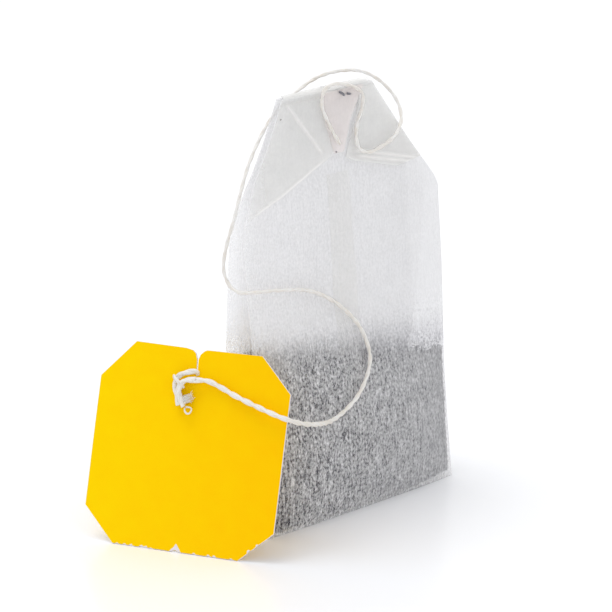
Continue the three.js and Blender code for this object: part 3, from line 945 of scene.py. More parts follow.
@dataclass(frozen=True)
class Strip:
    """A folded strip of paper that lies on the outer face of a chamber.

    left and right are its edges as (height, x), from the lowest point up. lifts is how far each of
    them stands off the face, and finish is the name of the paper finish that it is dressed in.
    """

    name: str
    finish: str
    side: Side
    left: Table
    right: Table
    lifts: tuple[float, float]
    thickness: float = 0.00007
    columns: int = 40
    rows: int = 90

    def surface(self, form: BagForm) -> Surface:
        """Works the strip out.

        A point lies at a share of the way from the left to the right edge at its height, and stands
        off the chamber's face by that share between the two lifts. The far face lies one thickness
        behind it.

        Args:
            form: The form of the bag.

        Returns:
            The closed strip.
        """
        left, right = np.array(self.left), np.array(self.right)
        bottom = max(left[0, 0], right[0, 0])
        top = min(left[-1, 0], right[-1, 0])
        z = np.linspace(bottom, top, self.rows)[:, None] + np.zeros(self.columns)
        share = np.linspace(0, 1, self.columns)[None, :]
        low, high = np.interp(z, left[:, 0], left[:, 1]), np.interp(z, right[:, 0], right[:, 1])
        x = low + share * (high - low)
        lift = self.lifts[0] + share * (self.lifts[1] - self.lifts[0])
        outer = np.stack([x, form.face(x, z, self.side, lift), z], axis=-1)
        inner = np.stack([x, form.face(x, z, self.side, lift - self.thickness), z], axis=-1)
        return slab(outer, inner) if self.side is Side.FRONT else slab(inner, outer)


@dataclass
class PaperBag:
    """The filter paper: two chambers, the W fold between their feet, the seam and the folded head."""

    form: BagForm
    finishes: dict[str, bpy.types.Material]
    seam_left: float = -0.0034
    seam_right: float = 0.0012
    seam_top: float = 0.0500
    gusset_height: float = 0.0142
    gusset_sheet: float = 0.00012
    gusset_half_width: float = 0.0192
    flap_height: float = 0.0056
    flap_gap: float = 0.00020
    left_corner_outer: Table = ((0.0462, -0.0192), (0.0506, -0.0174), (0.056, -0.0144), (0.0617, -0.01180))
    left_corner_inner: Table = ((0.0462, -0.0190), (0.0524, -0.0027), (0.0534, -0.0019), (0.0622, -0.0052))
    right_corner_inner: Table = ((0.0489, 0.0110), (0.0512, 0.0021), (0.0519, 0.0006), (0.0622, 0.0039))
    right_corner_outer: Table = ((0.0489, 0.0114), (0.0493, 0.0166), (0.0617, 0.0067))

    def chamber(self, side: Side, columns: int = 130, rows: int = 200) -> Surface:
        """One chamber, as a closed sheet bulged by its tea.

        x runs from fold to fold in cosine steps, closest at the folds. y is the side's sign times the
        spread, give or take the half thickness, with the relief of the paper on the outer face and a
        weaker one on the inner face.

        Args:
            side: Which chamber.
            columns: Points across.
            rows: Points up.

        Returns:
            The closed chamber.
        """
        form = self.form
        z = np.linspace(0.00005, form.height - 0.0004, rows)[:, None] + np.zeros(columns)
        share = (1 - np.cos(np.linspace(0, math.pi, columns)))[None, :] / 2
        left, right = form.edges(z)
        x = left + share * (right - left)
        middle = form.spread(z)
        half = form.half_thickness(x, z)
        outer = form.face(x, z, side)
        inner = side.value * (middle - half + 0.6 * form.relief(-x, z, side) * (half > 0.0002))
        near, far = (outer, inner) if side is Side.FRONT else (inner, outer)
        return slab(np.stack([x, near, z], axis=-1), np.stack([x, far, z], axis=-1))

    def gusset(self, columns: int = 90, rows: int = 60) -> Surface:
        """The W fold: one sheet that climbs from each foot to a soft ridge between the chambers.

        Across the bag the sheet is straight. From foot to foot its height is the ridge's, less a
        straight fall to each side, rounded where the two sides meet.

        Args:
            columns: Points along the bag's width.
            rows: Points from foot to foot.

        Returns:
            The closed sheet.
        """
        foot = self.form.foot_spread
        y = np.linspace(-foot, foot, rows)[:, None] + np.zeros(columns)
        x = np.linspace(-self.gusset_half_width, self.gusset_half_width, columns)[None, :] + np.zeros_like(y)
        fall = np.sqrt((y / foot) ** 2 + 0.0008)
        slope = self.gusset_height / foot
        z = np.maximum(self.gusset_height * (1 - fall), 0.00002) + 0.0003 * ripples(x, y * 2, 0.009, 5) * (1 - fall)
        over = np.stack([x, y, z], axis=-1)
        under = over - np.array([0.0, 0.0, self.gusset_sheet * math.hypot(1, slope)])
        under[..., 2] = np.maximum(under[..., 2], 0.00001)
        return slab(over, under)

    def head_fold(self, columns: int = 60) -> Surface:
        """The end of the head, folded over to the rear.

        The sheet climbs the front of the head, turns over the top in a half circle and comes down
        behind. Its sides follow the head's folds in front and taper in on the flap behind.

        Args:
            columns: Points along the bag's width.

        Returns:
            The closed fold.
        """
        form = self.form
        top = form.height - 0.0005
        turn = np.linspace(0, math.pi, 18)
        over = np.concatenate([np.zeros(6), (1 - np.cos(turn)) / 2, np.ones(24)])[:, None]
        z = np.concatenate([
            np.linspace(top - 0.0008, top - 0.00005, 6), top + 0.0005 * np.sin(turn),
            np.linspace(top - 0.00005, form.height - self.flap_height, 24)])[:, None]
        down = np.clip((top - z) / (self.flap_height - 0.0005), 0, 1) * (over > 0.999)
        left, right = form.edges(np.minimum(z, form.height))
        left = np.where(over > 0, form.left_edge[-1][1] + 0.0011 * over + 0.0024 * down, left)
        right = np.where(over > 0, form.right_edge[-1][1] - 0.0003 * over - 0.0041 * down, right)
        x = left + np.linspace(0, 1, columns)[None, :] * (right - left)
        z = z + np.zeros_like(x)
        front = form.head_spread + form.half_thickness(x, np.full_like(x, top)) + 0.00006
        rear = front + self.flap_gap
        wave = 0.00004 * ripples(x, z, 0.006, 21) * (1 + 4 * down)
        y = over * (rear + front + wave) - front
        outer = np.stack([x, y, z], axis=-1)
        inward = np.array([0.0, 0.0, top - 0.0006]) - outer
        inward[..., 0] = 0
        inward[(over < 0.001)[:, 0]] = (0, 1, 0)
        inward[(down > 0)[:, 0]] = (0, -1, 0)
        inward /= np.linalg.norm(inward, axis=-1, keepdims=True)
        return slab(outer, outer + 0.00007 * inward)

    def strips(self) -> list[Strip]:
        """The strips that lie on the chambers: the seam on both, and the head's folds in front."""
        seam_left = ((0.0006, self.seam_left), (self.seam_top, self.seam_left))
        seam_right = ((0.0006, self.seam_right), (self.seam_top, self.seam_right))
        seams = [
            Strip(f"seam_{side.name.lower()}", "seam", side, seam_left, seam_right, (0.00009, 0.00009),
                  columns=14, rows=120) for side in Side]
        return seams + [
            Strip("head_corner_left", "fold", Side.FRONT, self.left_corner_outer, self.left_corner_inner,
                  (0.00009, 0.00026)),
            Strip("head_corner_right", "fold", Side.FRONT, self.right_corner_inner, self.right_corner_outer,
                  (0.00026, 0.00009)),
            Strip("head_pleat", "pleat", Side.FRONT, ((0.0529, -0.0019), (0.0575, -0.0037), (0.0621, -0.0045)),
                  ((0.0529, 0.0002), (0.0575, 0.0012), (0.0621, 0.0041)), (0.00040, 0.00036)),
        ]

    def build(self) -> list[bpy.types.Object]:
        """Builds and dresses every sheet.

        Returns:
            The pieces, of which the front chamber stands for the CAD model's paper bag.
        """
        sheet, fold = self.finishes["sheet"], self.finishes["fold"]
        front = self.chamber(Side.FRONT).piece("chamber_front", Slot.PAPER, sheet)
        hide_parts("filter_bag")
        pieces = [front, self.chamber(Side.REAR).piece("chamber_rear", Slot.PAPER, sheet)]
        pieces.append(self.gusset().piece("w_fold", Slot.PAPER, fold))
        pieces.append(self.head_fold().piece("head_fold", Slot.PAPER, fold))
        for strip in self.strips():
            pieces.append(strip.surface(self.form).piece(strip.name, Slot.PAPER, self.finishes[strip.finish]))
        return pieces


# ---------------------------------------------------------------------------------------------
# The tea
# ---------------------------------------------------------------------------------------------


@dataclass
class TeaDose:
    """The tea in one chamber: a heap, and loose flakes pressed against the paper on both faces.

    top and bottom are the tea's edges as (x, height), and caught is where stray flakes of the front
    dose cling outside the paper, as (x, height).
    """

    form: BagForm
    side: Side
    material: bpy.types.Material
    top: Table = ((-0.0200, 0.0180), (-0.0185, 0.0195), (-0.0168, 0.0222), (-0.0152, 0.0246),
                  (-0.0080, 0.0245), (0.0, 0.0231), (0.0087, 0.0217), (0.0173, 0.0205), (0.0200, 0.0200))
    bottom: Table = ((-0.0200, 0.0006), (0.0120, 0.0006), (0.0200, 0.0012))
    inset: float = 0.0006
    paper_gap: float = 0.00016
    flakes_per_face: int = 9000
    caught: Table = ((-0.0020, 0.0533), (-0.0126, 0.0597))

    def floor_at(self, x: np.ndarray) -> np.ndarray:
        """How high the tea's lowest leaves lie at some places across the bag."""
        return np.interp(x, *np.array(self.bottom).T)

    def top_at(self, x: np.ndarray) -> np.ndarray:
        """How high the tea reaches at some places across the bag."""
        return np.interp(x, *np.array(self.top).T)

    def heap(self, columns: int = 110, rows: int = 90) -> Surface:
        """The closed heap behind the flakes.

        It fills the chamber less a gap to the paper. The gap grows towards the top, where the heap
        ends in a thin lip, and a fine relief roughens both faces.

        Args:
            columns: Points across.
            rows: Points up.

        Returns:
            The heap. Each point carries "tone", which picks its colour.
        """
        form = self.form
        share = (1 - np.cos(np.linspace(0, math.pi, columns)))[None, :] / 2
        up = np.linspace(0, 1, rows)[:, None]
        x = -0.0195 + self.inset + share * (0.039 - 2 * self.inset) + 0 * up
        z = self.floor_at(x) + up * (self.top_at(x) - 0.0006 - self.floor_at(x))
        thin = np.clip((self.top_at(x) - z) / 0.006, 0.12, 1)
        half = np.maximum(form.half_thickness(x, z) * thin - self.paper_gap - 0.00025, 0.00004)
        rough = 0.00008 * ripples(x, z, 0.0008, 31 + self.side.value) * np.minimum(half / 0.0004, 1)
        middle = self.side.value * form.spread(z)
        near = np.stack([x, middle - half - rough, z], axis=-1)
        far = np.stack([x, middle + half + rough, z], axis=-1)
        tone = 0.22 + 0.22 * ripples(x, z, 0.0011, 41)
        return slab(near, far, {"tone": tone})

    def flake(self) -> Surface:
        """One flake of unit size: an eight-sided chip."""
        corners = np.array([(1, 0, 0), (0, 1, 0), (-1, 0, 0), (0, -1, 0), (0, 0, 1), (0, 0, -1)]) / 2
        faces = [[0, 1, 4], [1, 2, 4], [2, 3, 4], [3, 0, 4], [1, 0, 5], [2, 1, 5], [3, 2, 5], [0, 3, 5]]
        return Surface(corners, faces)

    def flakes(self) -> Surface:
        """All the loose flakes of the dose.

        Each is the unit flake with its corners shaken, scaled to its own length, width and
        thickness, turned in the plane of the paper, tipped a little, and set just inside it. Above
        the heap they thin out exponentially, and further up on the right than on the left. The first
        few of the front dose are caught on the outside of the head.

        Returns:
            The flakes. Each carries "tone", which picks its colour.
        """
        form, draw = self.form, np.random.default_rng(70 + self.side.value)
        count = 2 * self.flakes_per_face
        outwards = np.where(np.arange(count) < self.flakes_per_face, 1.0, -1.0)
        x = draw.uniform(-0.0195 + self.inset, 0.0195 - self.inset, count)
        tail = draw.exponential(0.0006 + 0.0010 * np.clip((x + 0.004) / 0.02, 0, 1), count)
        stray = draw.random(count) < 0.12
        z = np.where(stray, self.top_at(x) + tail, draw.uniform(self.floor_at(x), self.top_at(x)))
        if self.side is Side.FRONT:
            x[:len(self.caught)], z[:len(self.caught)] = np.array(self.caught).T
        size = np.exp(draw.normal(0, 0.35, (count, 3))) * (0.00046, 0.00030, 0.00012)
        size *= np.where(stray, 0.45, 1.0)[:, None]
        depth = outwards * np.maximum(form.half_thickness(x, z) - self.paper_gap - size[:, 2] / 2, 0)
        spin, tip, roll = draw.uniform(0, 2 * math.pi, count), *draw.normal(0, 0.22, (2, count))
        base = self.flake()
        shaken = base.points[None] * draw.uniform(0.7, 1.3, (count, len(base.points), 1))
        local = shaken * size[:, None, :]
        a, b, c = local[..., 0], local[..., 1], local[..., 2]
        long = a * np.cos(spin)[:, None] - b * np.sin(spin)[:, None]
        wide = a * np.sin(spin)[:, None] + b * np.cos(spin)[:, None]
        deep = c + long * np.sin(tip)[:, None] + wide * np.sin(roll)[:, None]
        across, up = x[:, None] + long, z[:, None] + wide
        bent = np.minimum(form.relief(across, up, self.side), 0.6 * form.relief(-across, up, self.side))
        room = np.maximum(form.half_thickness(across, up) - np.abs(bent) - 0.00006, 0.00003)
        out = form.spread(up) + np.clip(depth[:, None] + deep, -room, room)
        if self.side is Side.FRONT:
            out[:len(self.caught)] += np.abs(room[:len(self.caught)]) + 0.0007
        points = np.stack([across, self.side.value * out, up], axis=-1)
        starts = np.arange(count)[:, None, None] * len(base.points)
        faces = (np.array(base.faces)[None] + starts).reshape(-1, 3)
        even = np.clip((x + 0.010) / 0.045, 0, 0.6)
        tone = draw.beta(1.3, 3.2, count) * (1 - even) + 0.42 * even
        tone = np.repeat(tone, len(base.points))
        return Surface(points.reshape(-1, 3), faces.tolist(), {"tone": tone})

    def build(self) -> list[bpy.types.Object]:
        """Builds and dresses the dose.

        Returns:
            The heap, which stands for the CAD model's dose, and the flakes.
        """
        label = self.side.name.lower()
        heap = self.heap().piece(f"tea_heap_{label}", Slot.TEA, self.material)
        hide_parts(f"tea_{label}")
        flakes = self.flakes().piece(f"tea_flakes_{label}", Slot.TEA, self.material, math.radians(20))
        return [heap, flakes]


# ---------------------------------------------------------------------------------------------
# String, knot and staple
# ---------------------------------------------------------------------------------------------


@dataclass(frozen=True)
class Twist:
    """A cord of two plies that wind round each other."""

    ply_radius: float = 0.00024
    ply_offset: float = 0.00010
    pitch: float = 0.0042
    sides: int = 10

    def along(self, path: np.ndarray, thick: np.ndarray | float = 1.0) -> Surface:
        """Lays the two plies along a path.

        A ply's centre lies at path + offset (side cos w + up sin w), where the angle w grows by one
        turn for each pitch, and the second ply is half a turn ahead.

        Args:
            path: Points along the cord, a few to each pitch.
            thick: How many times the usual thickness it has, once or for each point.

        Returns:
            The two closed plies.
        """
        side, up = frames_along(path)
        gone = gone_along(path)
        thickness = np.broadcast_to(thick, len(path))
        plies = []
        for start in (0.0, math.pi):
            angle = (start + gone * 2 * math.pi / self.pitch)[:, None]
            offset = thickness[:, None] * self.ply_offset * (side * np.cos(angle) + up * np.sin(angle))
            uneven = 1 + 0.05 * np.sin(gone * 900 + start) + 0.04 * np.sin(gone * 2300 + 2 * start)
            plies.append(tube(path, thickness * self.ply_radius * uneven, self.sides, path + offset))
        return Surface.joined(plies)


@dataclass
class TagString:
    """The string: up and over the head, round in a loop, down the left edge and across to the tag."""

    material: bpy.types.Material
    twist: Twist = Twist()
    diameter: float = 0.0007
    step: float = 0.00018
    thickness: Table = ((0.0, 0.78), (0.100, 0.80), (0.130, 0.95), (0.160, 1.20))
    route: tuple[tuple[float, float, float], ...] = (
        (-0.0014, -0.0019, 0.0544), (-0.0035, -0.0019, 0.0574), (-0.0051, -0.0019, 0.0609),
        (-0.0043, -0.0019, 0.0629), (-0.0018, -0.0019, 0.0632), (0.0013, -0.0019, 0.0623),
        (0.0032, -0.0019, 0.0609), (0.0032, -0.0019, 0.0591), (0.0020, -0.0019, 0.0563),
        (0.0024, -0.0019, 0.0533), (0.0043, -0.0020, 0.0522), (0.0072, -0.0021, 0.0526),
        (0.0098, -0.0021, 0.0537), (0.0123, -0.0010, 0.0555), (0.0132, 0.0007, 0.0578),
        (0.0121, 0.0023, 0.0602), (0.0084, 0.0030, 0.0625), (0.0033, 0.0031, 0.0634),
        (-0.0016, 0.0031, 0.0630), (-0.0060, 0.0031, 0.0613), (-0.0108, 0.0025, 0.0589),
        (-0.0163, 0.0012, 0.0539), (-0.0202, 0.0004, 0.0465), (-0.0212, 0.0011, 0.0421),
        (-0.0215, 0.0012, 0.0392), (-0.0213, 0.0004, 0.0372), (-0.0211, -0.0013, 0.0364),
        (-0.0199, -0.0029, 0.0364), (-0.0149, -0.0033, 0.0358), (-0.0085, -0.0035, 0.0343),
        (-0.0031, -0.0039, 0.0310), (0.0007, -0.0046, 0.0265), (0.0014, -0.0054, 0.0223),
        (-0.0015, -0.0062, 0.0183), (-0.0073, -0.0074, 0.0162), (-0.0166, -0.0110, 0.0181),
        (-0.0210, -0.0104, 0.0198), (-0.0230, -0.0035, 0.0217), (-0.0246, 0.0015, 0.0235),
        (-0.0257, 0.0032, 0.0235),
    )

    def build(self) -> tuple[bpy.types.Object, np.ndarray]:
        """Builds and dresses the string.

        Returns:
            The string, and the points of its centre line in the frame of the CAD model.
        """
        path = smooth_path(np.array(self.route), self.step)
        thick = np.interp(np.linspace(0, length_of(path), len(path)), *np.array(self.thickness).T)
        piece = self.twist.along(path, thick).piece("tag_string", Slot.COTTON, self.material, math.pi)
        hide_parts("string")
        return piece, path + bag_place()


@dataclass
class StringKnot:
    """The knot in the tag's slit, in the tag's own frame: u to the right, v up, front at 0."""

    material: bpy.types.Material
    place: "TagPlace"
    eye_height: float = 0.0254
    twist: Twist = Twist()
    step: float = 0.00014

    def strand(self, stops: Sequence[tuple[float, float, float]], thick: float = 1.0) -> Surface:
        """A stretch of the twisted string through some points, given from the slit's lower end."""
        path = smooth_path(np.array(stops) + (0, self.eye_height, 0), self.step)
        return self.twist.along(path, thick)

    def tuft(self, count: int = 70) -> Surface:
        """The frayed end: single fibres that part as they leave the twist and curl round at random.

        A fibre's point at the share s of its length is root + s reach + s curl (side cos a + up sin a),
        where the angle a grows with s, and it gets thinner towards its tip.

        Args:
            count: How many fibres there are.

        Returns:
            The closed fibres.
        """
        draw = np.random.default_rng(5)
        share = np.linspace(0, 1, 17)[:, None]
        fibres = []
        for _ in range(count):
            root = np.array((-0.0012, -0.0042, 0.0008)) + draw.normal(0, 0.00022, 3)
            reach = np.array((0.0014, 0.0011, 0.0001)) * draw.uniform(0.2, 1.1) + draw.normal(0, 0.00025, 3)
            angle = draw.uniform(0, 2 * math.pi) + share * draw.uniform(2.5, 6.5) * draw.choice((-1, 1))
            side, up = draw.normal(0, 0.6, (2, 3)) * (1, 1, 0.5)
            curl = draw.uniform(0.00018, 0.00042) * (side * np.cos(angle) + up * np.sin(angle))
            path = root + share * (reach + curl) + (0, self.eye_height, 0)
            path[:, 2] = np.maximum(path[:, 2], 0.0002)
            fibres.append(tube(path, 0.00008 * (1.15 - share[:, 0]), 5))
        return Surface.joined(fibres)

    def ring(self) -> Surface:
        """The small open ring that the thread makes beside the end of the knot."""
        angle = np.linspace(2.6, 2.6 + 2 * math.pi - 0.2, 40)
        reach = 0.00052 * (1 + 0.12 * np.sin(3 * angle))
        stops = np.stack([
            -0.00025 + reach * np.cos(angle), self.eye_height - 0.0053 + 0.9 * reach * np.sin(angle),
            0.0008 + 0.0001 * np.sin(2 * angle)], axis=1)
        return self.twist.along(stops, 0.4)

    def build(self) -> bpy.types.Object:
        """Builds and dresses the knot.

        Returns:
            The knot, as one piece.
        """
        loop = self.strand((
            (0.00012, -0.0001, -0.0010), (0.00012, -0.0001, -0.0002), (0.00015, 0.0002, 0.0004),
            (-0.0002, 0.0002, 0.0007), (-0.0012, -0.0001, 0.0009), (-0.0021, -0.0006, 0.0009),
            (-0.0027, -0.0014, 0.0008), (-0.00255, -0.0025, 0.0007), (-0.0022, -0.0037, 0.0006),
            (-0.0018, -0.0048, 0.0006)), 1.25)
        end = self.strand((
            (0.0006, -0.00085, 0.0011), (0.0001, -0.0010, 0.0011), (-0.0007, -0.0011, 0.0012),
            (-0.0013, -0.0014, 0.0013), (-0.00175, -0.0021, 0.0013), (-0.00175, -0.0031, 0.0012),
            (-0.0014, -0.0042, 0.0010), (-0.0010, -0.0049, 0.0008)), 1.3)
        wrap = self.strand((
            (-0.0029, -0.0012, 0.0003), (-0.0029, -0.0008, 0.0010), (-0.0023, -0.0011, 0.0016),
            (-0.0017, -0.0017, 0.0016), (-0.0013, -0.0022, 0.0009)), 0.8)
        behind = self.strand((
            (0.00005, 0.0, -0.0009), (0.0003, -0.0006, -0.0011), (0.0, -0.0014, -0.0011),
            (-0.0004, -0.0007, -0.0011), (-0.0001, -0.0001, -0.0009)), 0.75)
        whole = Surface.joined([loop, end, wrap, behind, self.ring(), self.tuft()])
        knot = whole.moved(self.place.turn(), self.place.foot())
        piece = knot.piece("tag_knot", Slot.COTTON, self.material, math.pi)
        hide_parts("string_knot")
        return piece


@dataclass
class Staple:
    """The wire staple: a crown behind the head, two legs through it, and two clenched ends in front."""

    material: bpy.types.Material
    radius: float = 0.00018
    left: tuple[float, float] = (-0.0009, 0.06175)
    right: tuple[float, float] = (0.0007, 0.0613)
    front: float = -0.00175
    crown: float = 0.00265

    def build(self) -> bpy.types.Object:
        """Builds and dresses the staple.

        Returns:
            The staple, which stands for the CAD model's.
        """
        (left, left_height), (right, right_height) = self.left, self.right
        middle = (left_height + right_height) / 2
        stops = np.array((
            (left + 0.00055, self.front, left_height - 0.0006),
            (left + 0.0003, self.front - 0.00005, left_height - 0.0003),
            (left, self.front + 0.00025, left_height), (left, 0, left_height),
            (left, self.crown - 0.00035, left_height), (left + 0.0003, self.crown, left_height - 0.00005),
            (0, self.crown, middle), (right - 0.0003, self.crown, right_height + 0.00005),
            (right, self.crown - 0.00035, right_height), (right, 0, right_height),
            (right, self.front + 0.00025, right_height),
            (right + 0.0002, self.front, right_height - 0.00005),
            (right + 0.00035, self.front + 0.00005, right_height - 0.0001)))
        path = smooth_path(stops, 0.00008)
        ends = np.minimum(np.arange(len(path)), np.arange(len(path))[::-1])
        radius = self.radius * np.clip(0.35 + ends / 5, 0, 1)
        piece = tube(path, radius, 14).piece("staple_wire", Slot.WIRE, self.material)
        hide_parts("staple")
        return piece


# ---------------------------------------------------------------------------------------------
# The tag
# ---------------------------------------------------------------------------------------------


@dataclass(frozen=True)
class TagPlace:
    """Where the tag stands: its foot on the ground, how it is turned, and how far it leans back."""

    foot_x: float = -0.0321
    foot_y: float = 0.00064
    turned: float = math.radians(-67.2)
    lean: float = math.radians(19)
    thickness: float = 0.0003

    def turn(self) -> np.ndarray:
        """The matrix from the tag's own axes to the bag's: right, up and out of its face."""
        s, c = math.sin(self.turned), math.cos(self.turned)
        sl, cl = math.sin(self.lean), math.cos(self.lean)
        return np.array([(c, -s * sl, s * cl), (s, c * sl, -c * cl), (0.0, cl, sl)])

    def foot(self) -> np.ndarray:
        """Where the middle of the lower edge of the tag's face lies."""
        return np.array([self.foot_x, self.foot_y, self.thickness * math.sin(self.lean)])


@dataclass
class CardTag:
    """The card: a square with cut corners, a slit from the top edge and a torn nick in the bottom."""

    material: bpy.types.Material
    place: TagPlace = TagPlace()
    width: float = 0.0291
    height: float = 0.0289
    corner: float = 0.0049
    slit_foot: float = 0.0251
    centre: tuple[float, float] = (0.00084, 0.0140)

    def outline(self, count: int = 900) -> np.ndarray:
        """The card's outline, anticlockwise from the nick, with points spread along it.

        Straight stretches join its corners, and small dents are taken out of the lower edge and the
        lower right corner, where the card was torn from its strip.

        Args:
            count: About how many points there are.

        Returns:
            The points, as N by 2.
        """
        half, top, cut = self.width / 2, self.height, self.corner
        corners = np.array([
            (0.0001, 0.0003), (0.0003, 0.00018), (0.0006, 0.0001), (0.00102, 0.0),
            (half - cut, 0.0), (half, cut - 0.0005), (half, top - cut), (half - cut, top),
            (0.0013, top - 0.0001), (0.0009, top - 0.0003), (0.0004, top - 0.0008),
            (0.00012, top - 0.0013), (0.00015, top - 0.0020), (0.00023, self.slit_foot + 0.0001),
            (0.000144, self.slit_foot), (0.00006, self.slit_foot + 0.0001), (-0.00006, top - 0.0020),
            (-0.00011, top - 0.0013), (-0.00018, top - 0.0012), (-0.0004, top - 0.0007),
            (-0.0009, top - 0.0003), (-0.0020, top - 0.0001), (cut - half, top),
            (-half, top - cut - 0.0005), (-half, cut), (cut - half, 0.0), (-0.00076, 0.0), (-0.0004, 0.0001),
            (-0.0002, 0.00025)])
        closed = np.concatenate([corners, corners[:1]])
        gone = gone_along(closed)
        even = np.linspace(0, gone[-1], count, endpoint=False)
        spots = np.unique(np.concatenate([even, gone[:-1]]))
        line = np.stack([np.interp(spots, gone, closed[:, axis]) for axis in range(2)], axis=1)
        rough = 0.000006 * ripples(line[:, 0], line[:, 1], 0.0005, 61)
        inward = np.array(self.centre) - line
        inward /= np.linalg.norm(inward, axis=1, keepdims=True)
        return line + inward * (rough + self.dents(line))[:, None]

    def dents(self, line: np.ndarray) -> np.ndarray:
        """How deep the small tears cut into the outline at each of its points."""
        spots = np.array((
            (-0.0090, 0.0, 0.00008), (-0.0078, 0.0, 0.00010), (-0.0068, 0.0, 0.00012), (-0.0052, 0.0, 0.00014),
            (-0.0045, 0.0, 0.00012), (-0.0037, 0.0, 0.00007), (0.0030, 0.0, 0.00010), (0.0052, 0.0, 0.00013),
            (0.0061, 0.0, 0.00012), (0.0087, 0.0, 0.00009), (0.0112, 0.0014, 0.00016), (0.0123, 0.0025, 0.00010)))
        away = np.hypot(line[:, None, 0] - spots[:, 0], line[:, None, 1] - spots[:, 1])
        return (spots[:, 2] * np.exp(-(away / 0.00028) ** 2)).sum(1)

    def torn(self, line: np.ndarray) -> np.ndarray:
        """How far a tear or a cut shows pale along the outline, from 0 to 1 at each of its points."""
        slit = (np.abs(line[:, 0]) < 0.0003) & (line[:, 1] > self.slit_foot - 0.0001)
        return np.clip(0.9 * slit + self.dents(line) / 0.00012, 0, 1)

    def tear(self, u: np.ndarray, v: np.ndarray) -> np.ndarray:
        """The ragged triangle above the nick, where the coating is torn off: 1 inside it, 0 outside."""
        ragged = 0.00008 * ripples(u, v, 0.0004, 65)
        return np.clip((0.00116 - 1.3 * np.abs(u - 0.0001) - v + ragged) / 0.00008 + 0.5, 0, 1)

    def surface(self) -> Surface:
        """The card's closed surface.

        Every ring is the outline, drawn in towards a centre by its own share: from the centre out
        over the face, round the edge, and back in behind. The face bends a little along a soft
        crease under the slit and curls at the corners.

        Returns:
            The surface. Each point carries "rim", 1 on a cut or torn edge, and "card", its place on
            the card in millimetres.
        """
        line, centre = self.outline(), np.array(self.centre)
        arm = line - centre
        reach = np.linalg.norm(arm, axis=1)
        torn = self.torn(line)
        depth = np.array((0.0, 0.00003, 0.00010, 0.00017, 0.00030, 0.00045, 0.0006, 0.00075, 0.0009, 0.0011, 0.0013))
        faces = [1 - depth[:, None] / reach[None, :]]
        inner = np.linspace(0.9, 0.02, 12)[:, None] * faces[0][-1][None, :]
        share = np.concatenate([faces[0], inner])
        fade = np.clip((0.00022 - depth[1:]) / 0.00008, 0, 1)
        pale = np.concatenate([np.ones((1, len(line))), torn[None] * fade[:, None], np.zeros((12, len(line)))])
        rows = [share[::-1], np.ones((3, len(line))), share]
        lift = [np.zeros_like(share), np.linspace(0, -1, 5)[1:-1, None] + np.zeros(len(line)),
                -np.ones_like(share)]
        rim = [pale[::-1], np.ones((3, len(line))), pale]
        share, lift, rim = (np.concatenate(part) for part in (rows, lift, rim))
        flat = centre + share[..., None] * arm[None]
        u, v = flat[..., 0], flat[..., 1]
        rim = np.maximum(rim, self.tear(u, v) * (lift > -0.5))
        bend = 0.00010 * np.exp(-(u / 0.0016) ** 2) * np.clip(v / self.slit_foot, 0, 1)
        bend += 0.00006 * ripples(u, v, 0.016, 63) * np.clip(v / 0.004, 0, 1)
        points = np.stack([u, v, lift * self.place.thickness + bend], axis=-1)
        middle = np.array([(*centre, points[0, :, 2].mean()), (*centre, points[-1, :, 2].mean())])
        spot = np.stack([u, v, lift], axis=-1).reshape(-1, 3) * (1000, 1000, 0.3)
        return Surface(
            np.concatenate([points.reshape(-1, 3), middle]), ring_faces(*u.shape, turned=True),
            {"rim": np.concatenate([rim.ravel(), [0.0, 0.0]]),
             "card": np.concatenate([spot, spot[[0, -1]] * (0, 0, 1) + (*(centre * 1000), 0)])})

    def build(self) -> bpy.types.Object:
        """Builds and dresses the tag.

        Returns:
            The tag, which stands for the CAD model's.
        """
        placed = self.surface().moved(self.place.turn(), self.place.foot())
        piece = placed.piece("card_tag", Slot.CARD, self.material)
        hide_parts("tag")
        return piece


# ---------------------------------------------------------------------------------------------
# The studio
# ---------------------------------------------------------------------------------------------


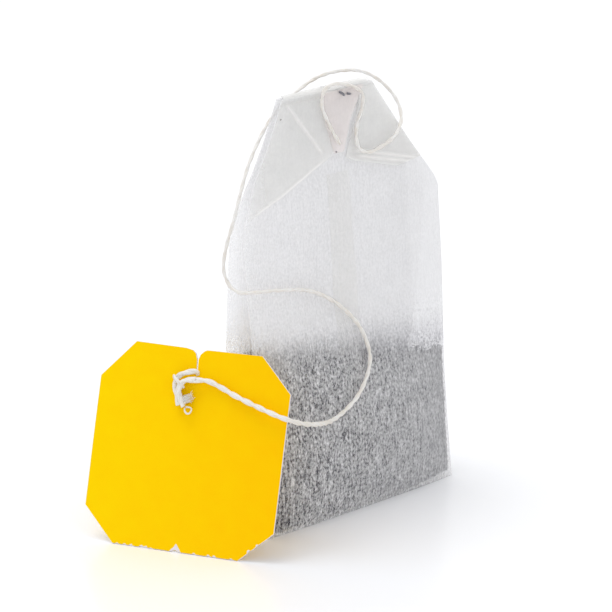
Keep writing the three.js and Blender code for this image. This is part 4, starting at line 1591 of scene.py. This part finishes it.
@dataclass
class Studio:
    """A plain white floor with soft light from all round, and the camera."""

    azimuth: float = math.radians(-45.33)
    elevation: float = math.radians(16.62)
    distance: float = 0.5
    lens: float = 204.93
    target: tuple[float, float, float] = (-0.00632, 0.0, 0.030965)
    sky: float = 0.93
    sun: float = 0.75
    floor_size: float = 3.0
    floor_colour: tuple[float, float, float, float] = (0.965, 0.967, 0.985, 1.0)

    def camera(self) -> bpy.types.Object:
        """Makes the camera and looks through it.

        Returns:
            The camera.
        """
        data = bpy.data.cameras.new("camera")
        data.lens = self.lens
        data.sensor_width = 36.0
        data.clip_start, data.clip_end = 0.01, 20.0
        camera = linked("camera", data)
        flat = math.cos(self.elevation)
        back = Vector((math.sin(self.azimuth) * flat, -math.cos(self.azimuth) * flat, math.sin(self.elevation)))
        camera.location = Vector(bag_place() + np.array(self.target)) + self.distance * back
        camera.rotation_euler = back.to_track_quat("Z", "Y").to_euler()
        bpy.context.scene.camera = camera
        return camera

    def floor(self) -> bpy.types.Object:
        """Makes the floor, which is smooth enough for a faint blurred reflection.

        Returns:
            The floor.
        """
        half = self.floor_size / 2
        mesh = bpy.data.meshes.new("floor")
        mesh.from_pydata([(-half, -half, 0), (half, -half, 0), (half, half, 0), (-half, half, 0)], [], [(0, 1, 2, 3)])
        material, sheet, shader = new_material("white_floor")
        haze = sheet.noise(millimetres(sheet), 0.05, 3.0)
        sheet.feed(shader, {
            "Roughness": sheet.spread(haze, 0.3, 0.7, 0.24, 0.27), "Base Color": self.floor_colour,
            "Specular IOR Level": 0.4})
        mesh.materials.append(material)
        floor = linked("floor", mesh)
        return floor

    def light(self) -> None:
        """Makes a faintly blue white sky, and a broad soft lamp high up, a little behind the bag."""
        scene = bpy.context.scene
        world = bpy.data.worlds.new("white_sky")
        world.use_nodes = True
        background = world.node_tree.nodes["Background"]
        background.inputs["Color"].default_value = (0.975, 0.985, 1.0, 1.0)
        background.inputs["Strength"].default_value = self.sky
        scene.world = world
        scene.view_settings.view_transform = "Standard"
        data = bpy.data.lights.new("broad_lamp", "SUN")
        data.energy = self.sun
        data.color = (1.0, 0.99, 0.965)
        data.angle = math.radians(30)
        lamp = linked("broad_lamp", data)
        lamp.rotation_euler = Vector((-0.10, 0.24, 1.0)).to_track_quat("Z", "Y").to_euler()

    def build(self) -> None:
        """Sets the floor and the light."""
        self.floor()
        self.light()


def main() -> None:
    """Builds the camera, the string and then the rest of the tea bag and its studio, in order."""
    logging.basicConfig(level=logging.INFO, format="%(name)s %(message)s")
    studio = Studio()
    studio.camera()

    cotton = CottonFinish().material()
    string = TagString(cotton)
    string_piece, centre_line = string.build()
    place = TagPlace()
    knot = StringKnot(cotton, place).build()

    fibres = fibre_group()
    papers = {
        "sheet": PaperFinish("filter_sheet", 0.52, foot_cover=0.80, pinch=0.12).material(fibres),
        "fold": PaperFinish("folded_sheet", 0.3, (0.965, 0.955, 0.93, 1.0), 0.10, creases=(
            ((-3.1, 61.7), (1.3, 56.5)), ((-0.8, 59.1), (4.2, 53.1)), ((5.2, 52.5), (-10.4, 46.55)),
            ((10.4, 51.95), (25.6, 48.12)), ((9.6, 52.86), (24.8, 48.98)))
        ).material(fibres),
        "seam": PaperFinish("pressed_seam", 0.08, (0.94, 0.925, 0.88, 1.0), 0.05, 0.02, 0.1).material(fibres),
        "pleat": PaperFinish("head_pleat_paper", 0.3, (1.0, 0.925, 0.90, 1.0), 0.10).material(fibres),
    }
    form = BagForm()
    PaperBag(form, papers).build()
    leaf = TeaFinish().material()
    for side in Side:
        TeaDose(form, side, leaf).build()
    Staple(WireFinish().material()).build()
    CardTag(CardFinish().material(fibres), place).build()
    studio.build()


if __name__ == "__main__":
    main()
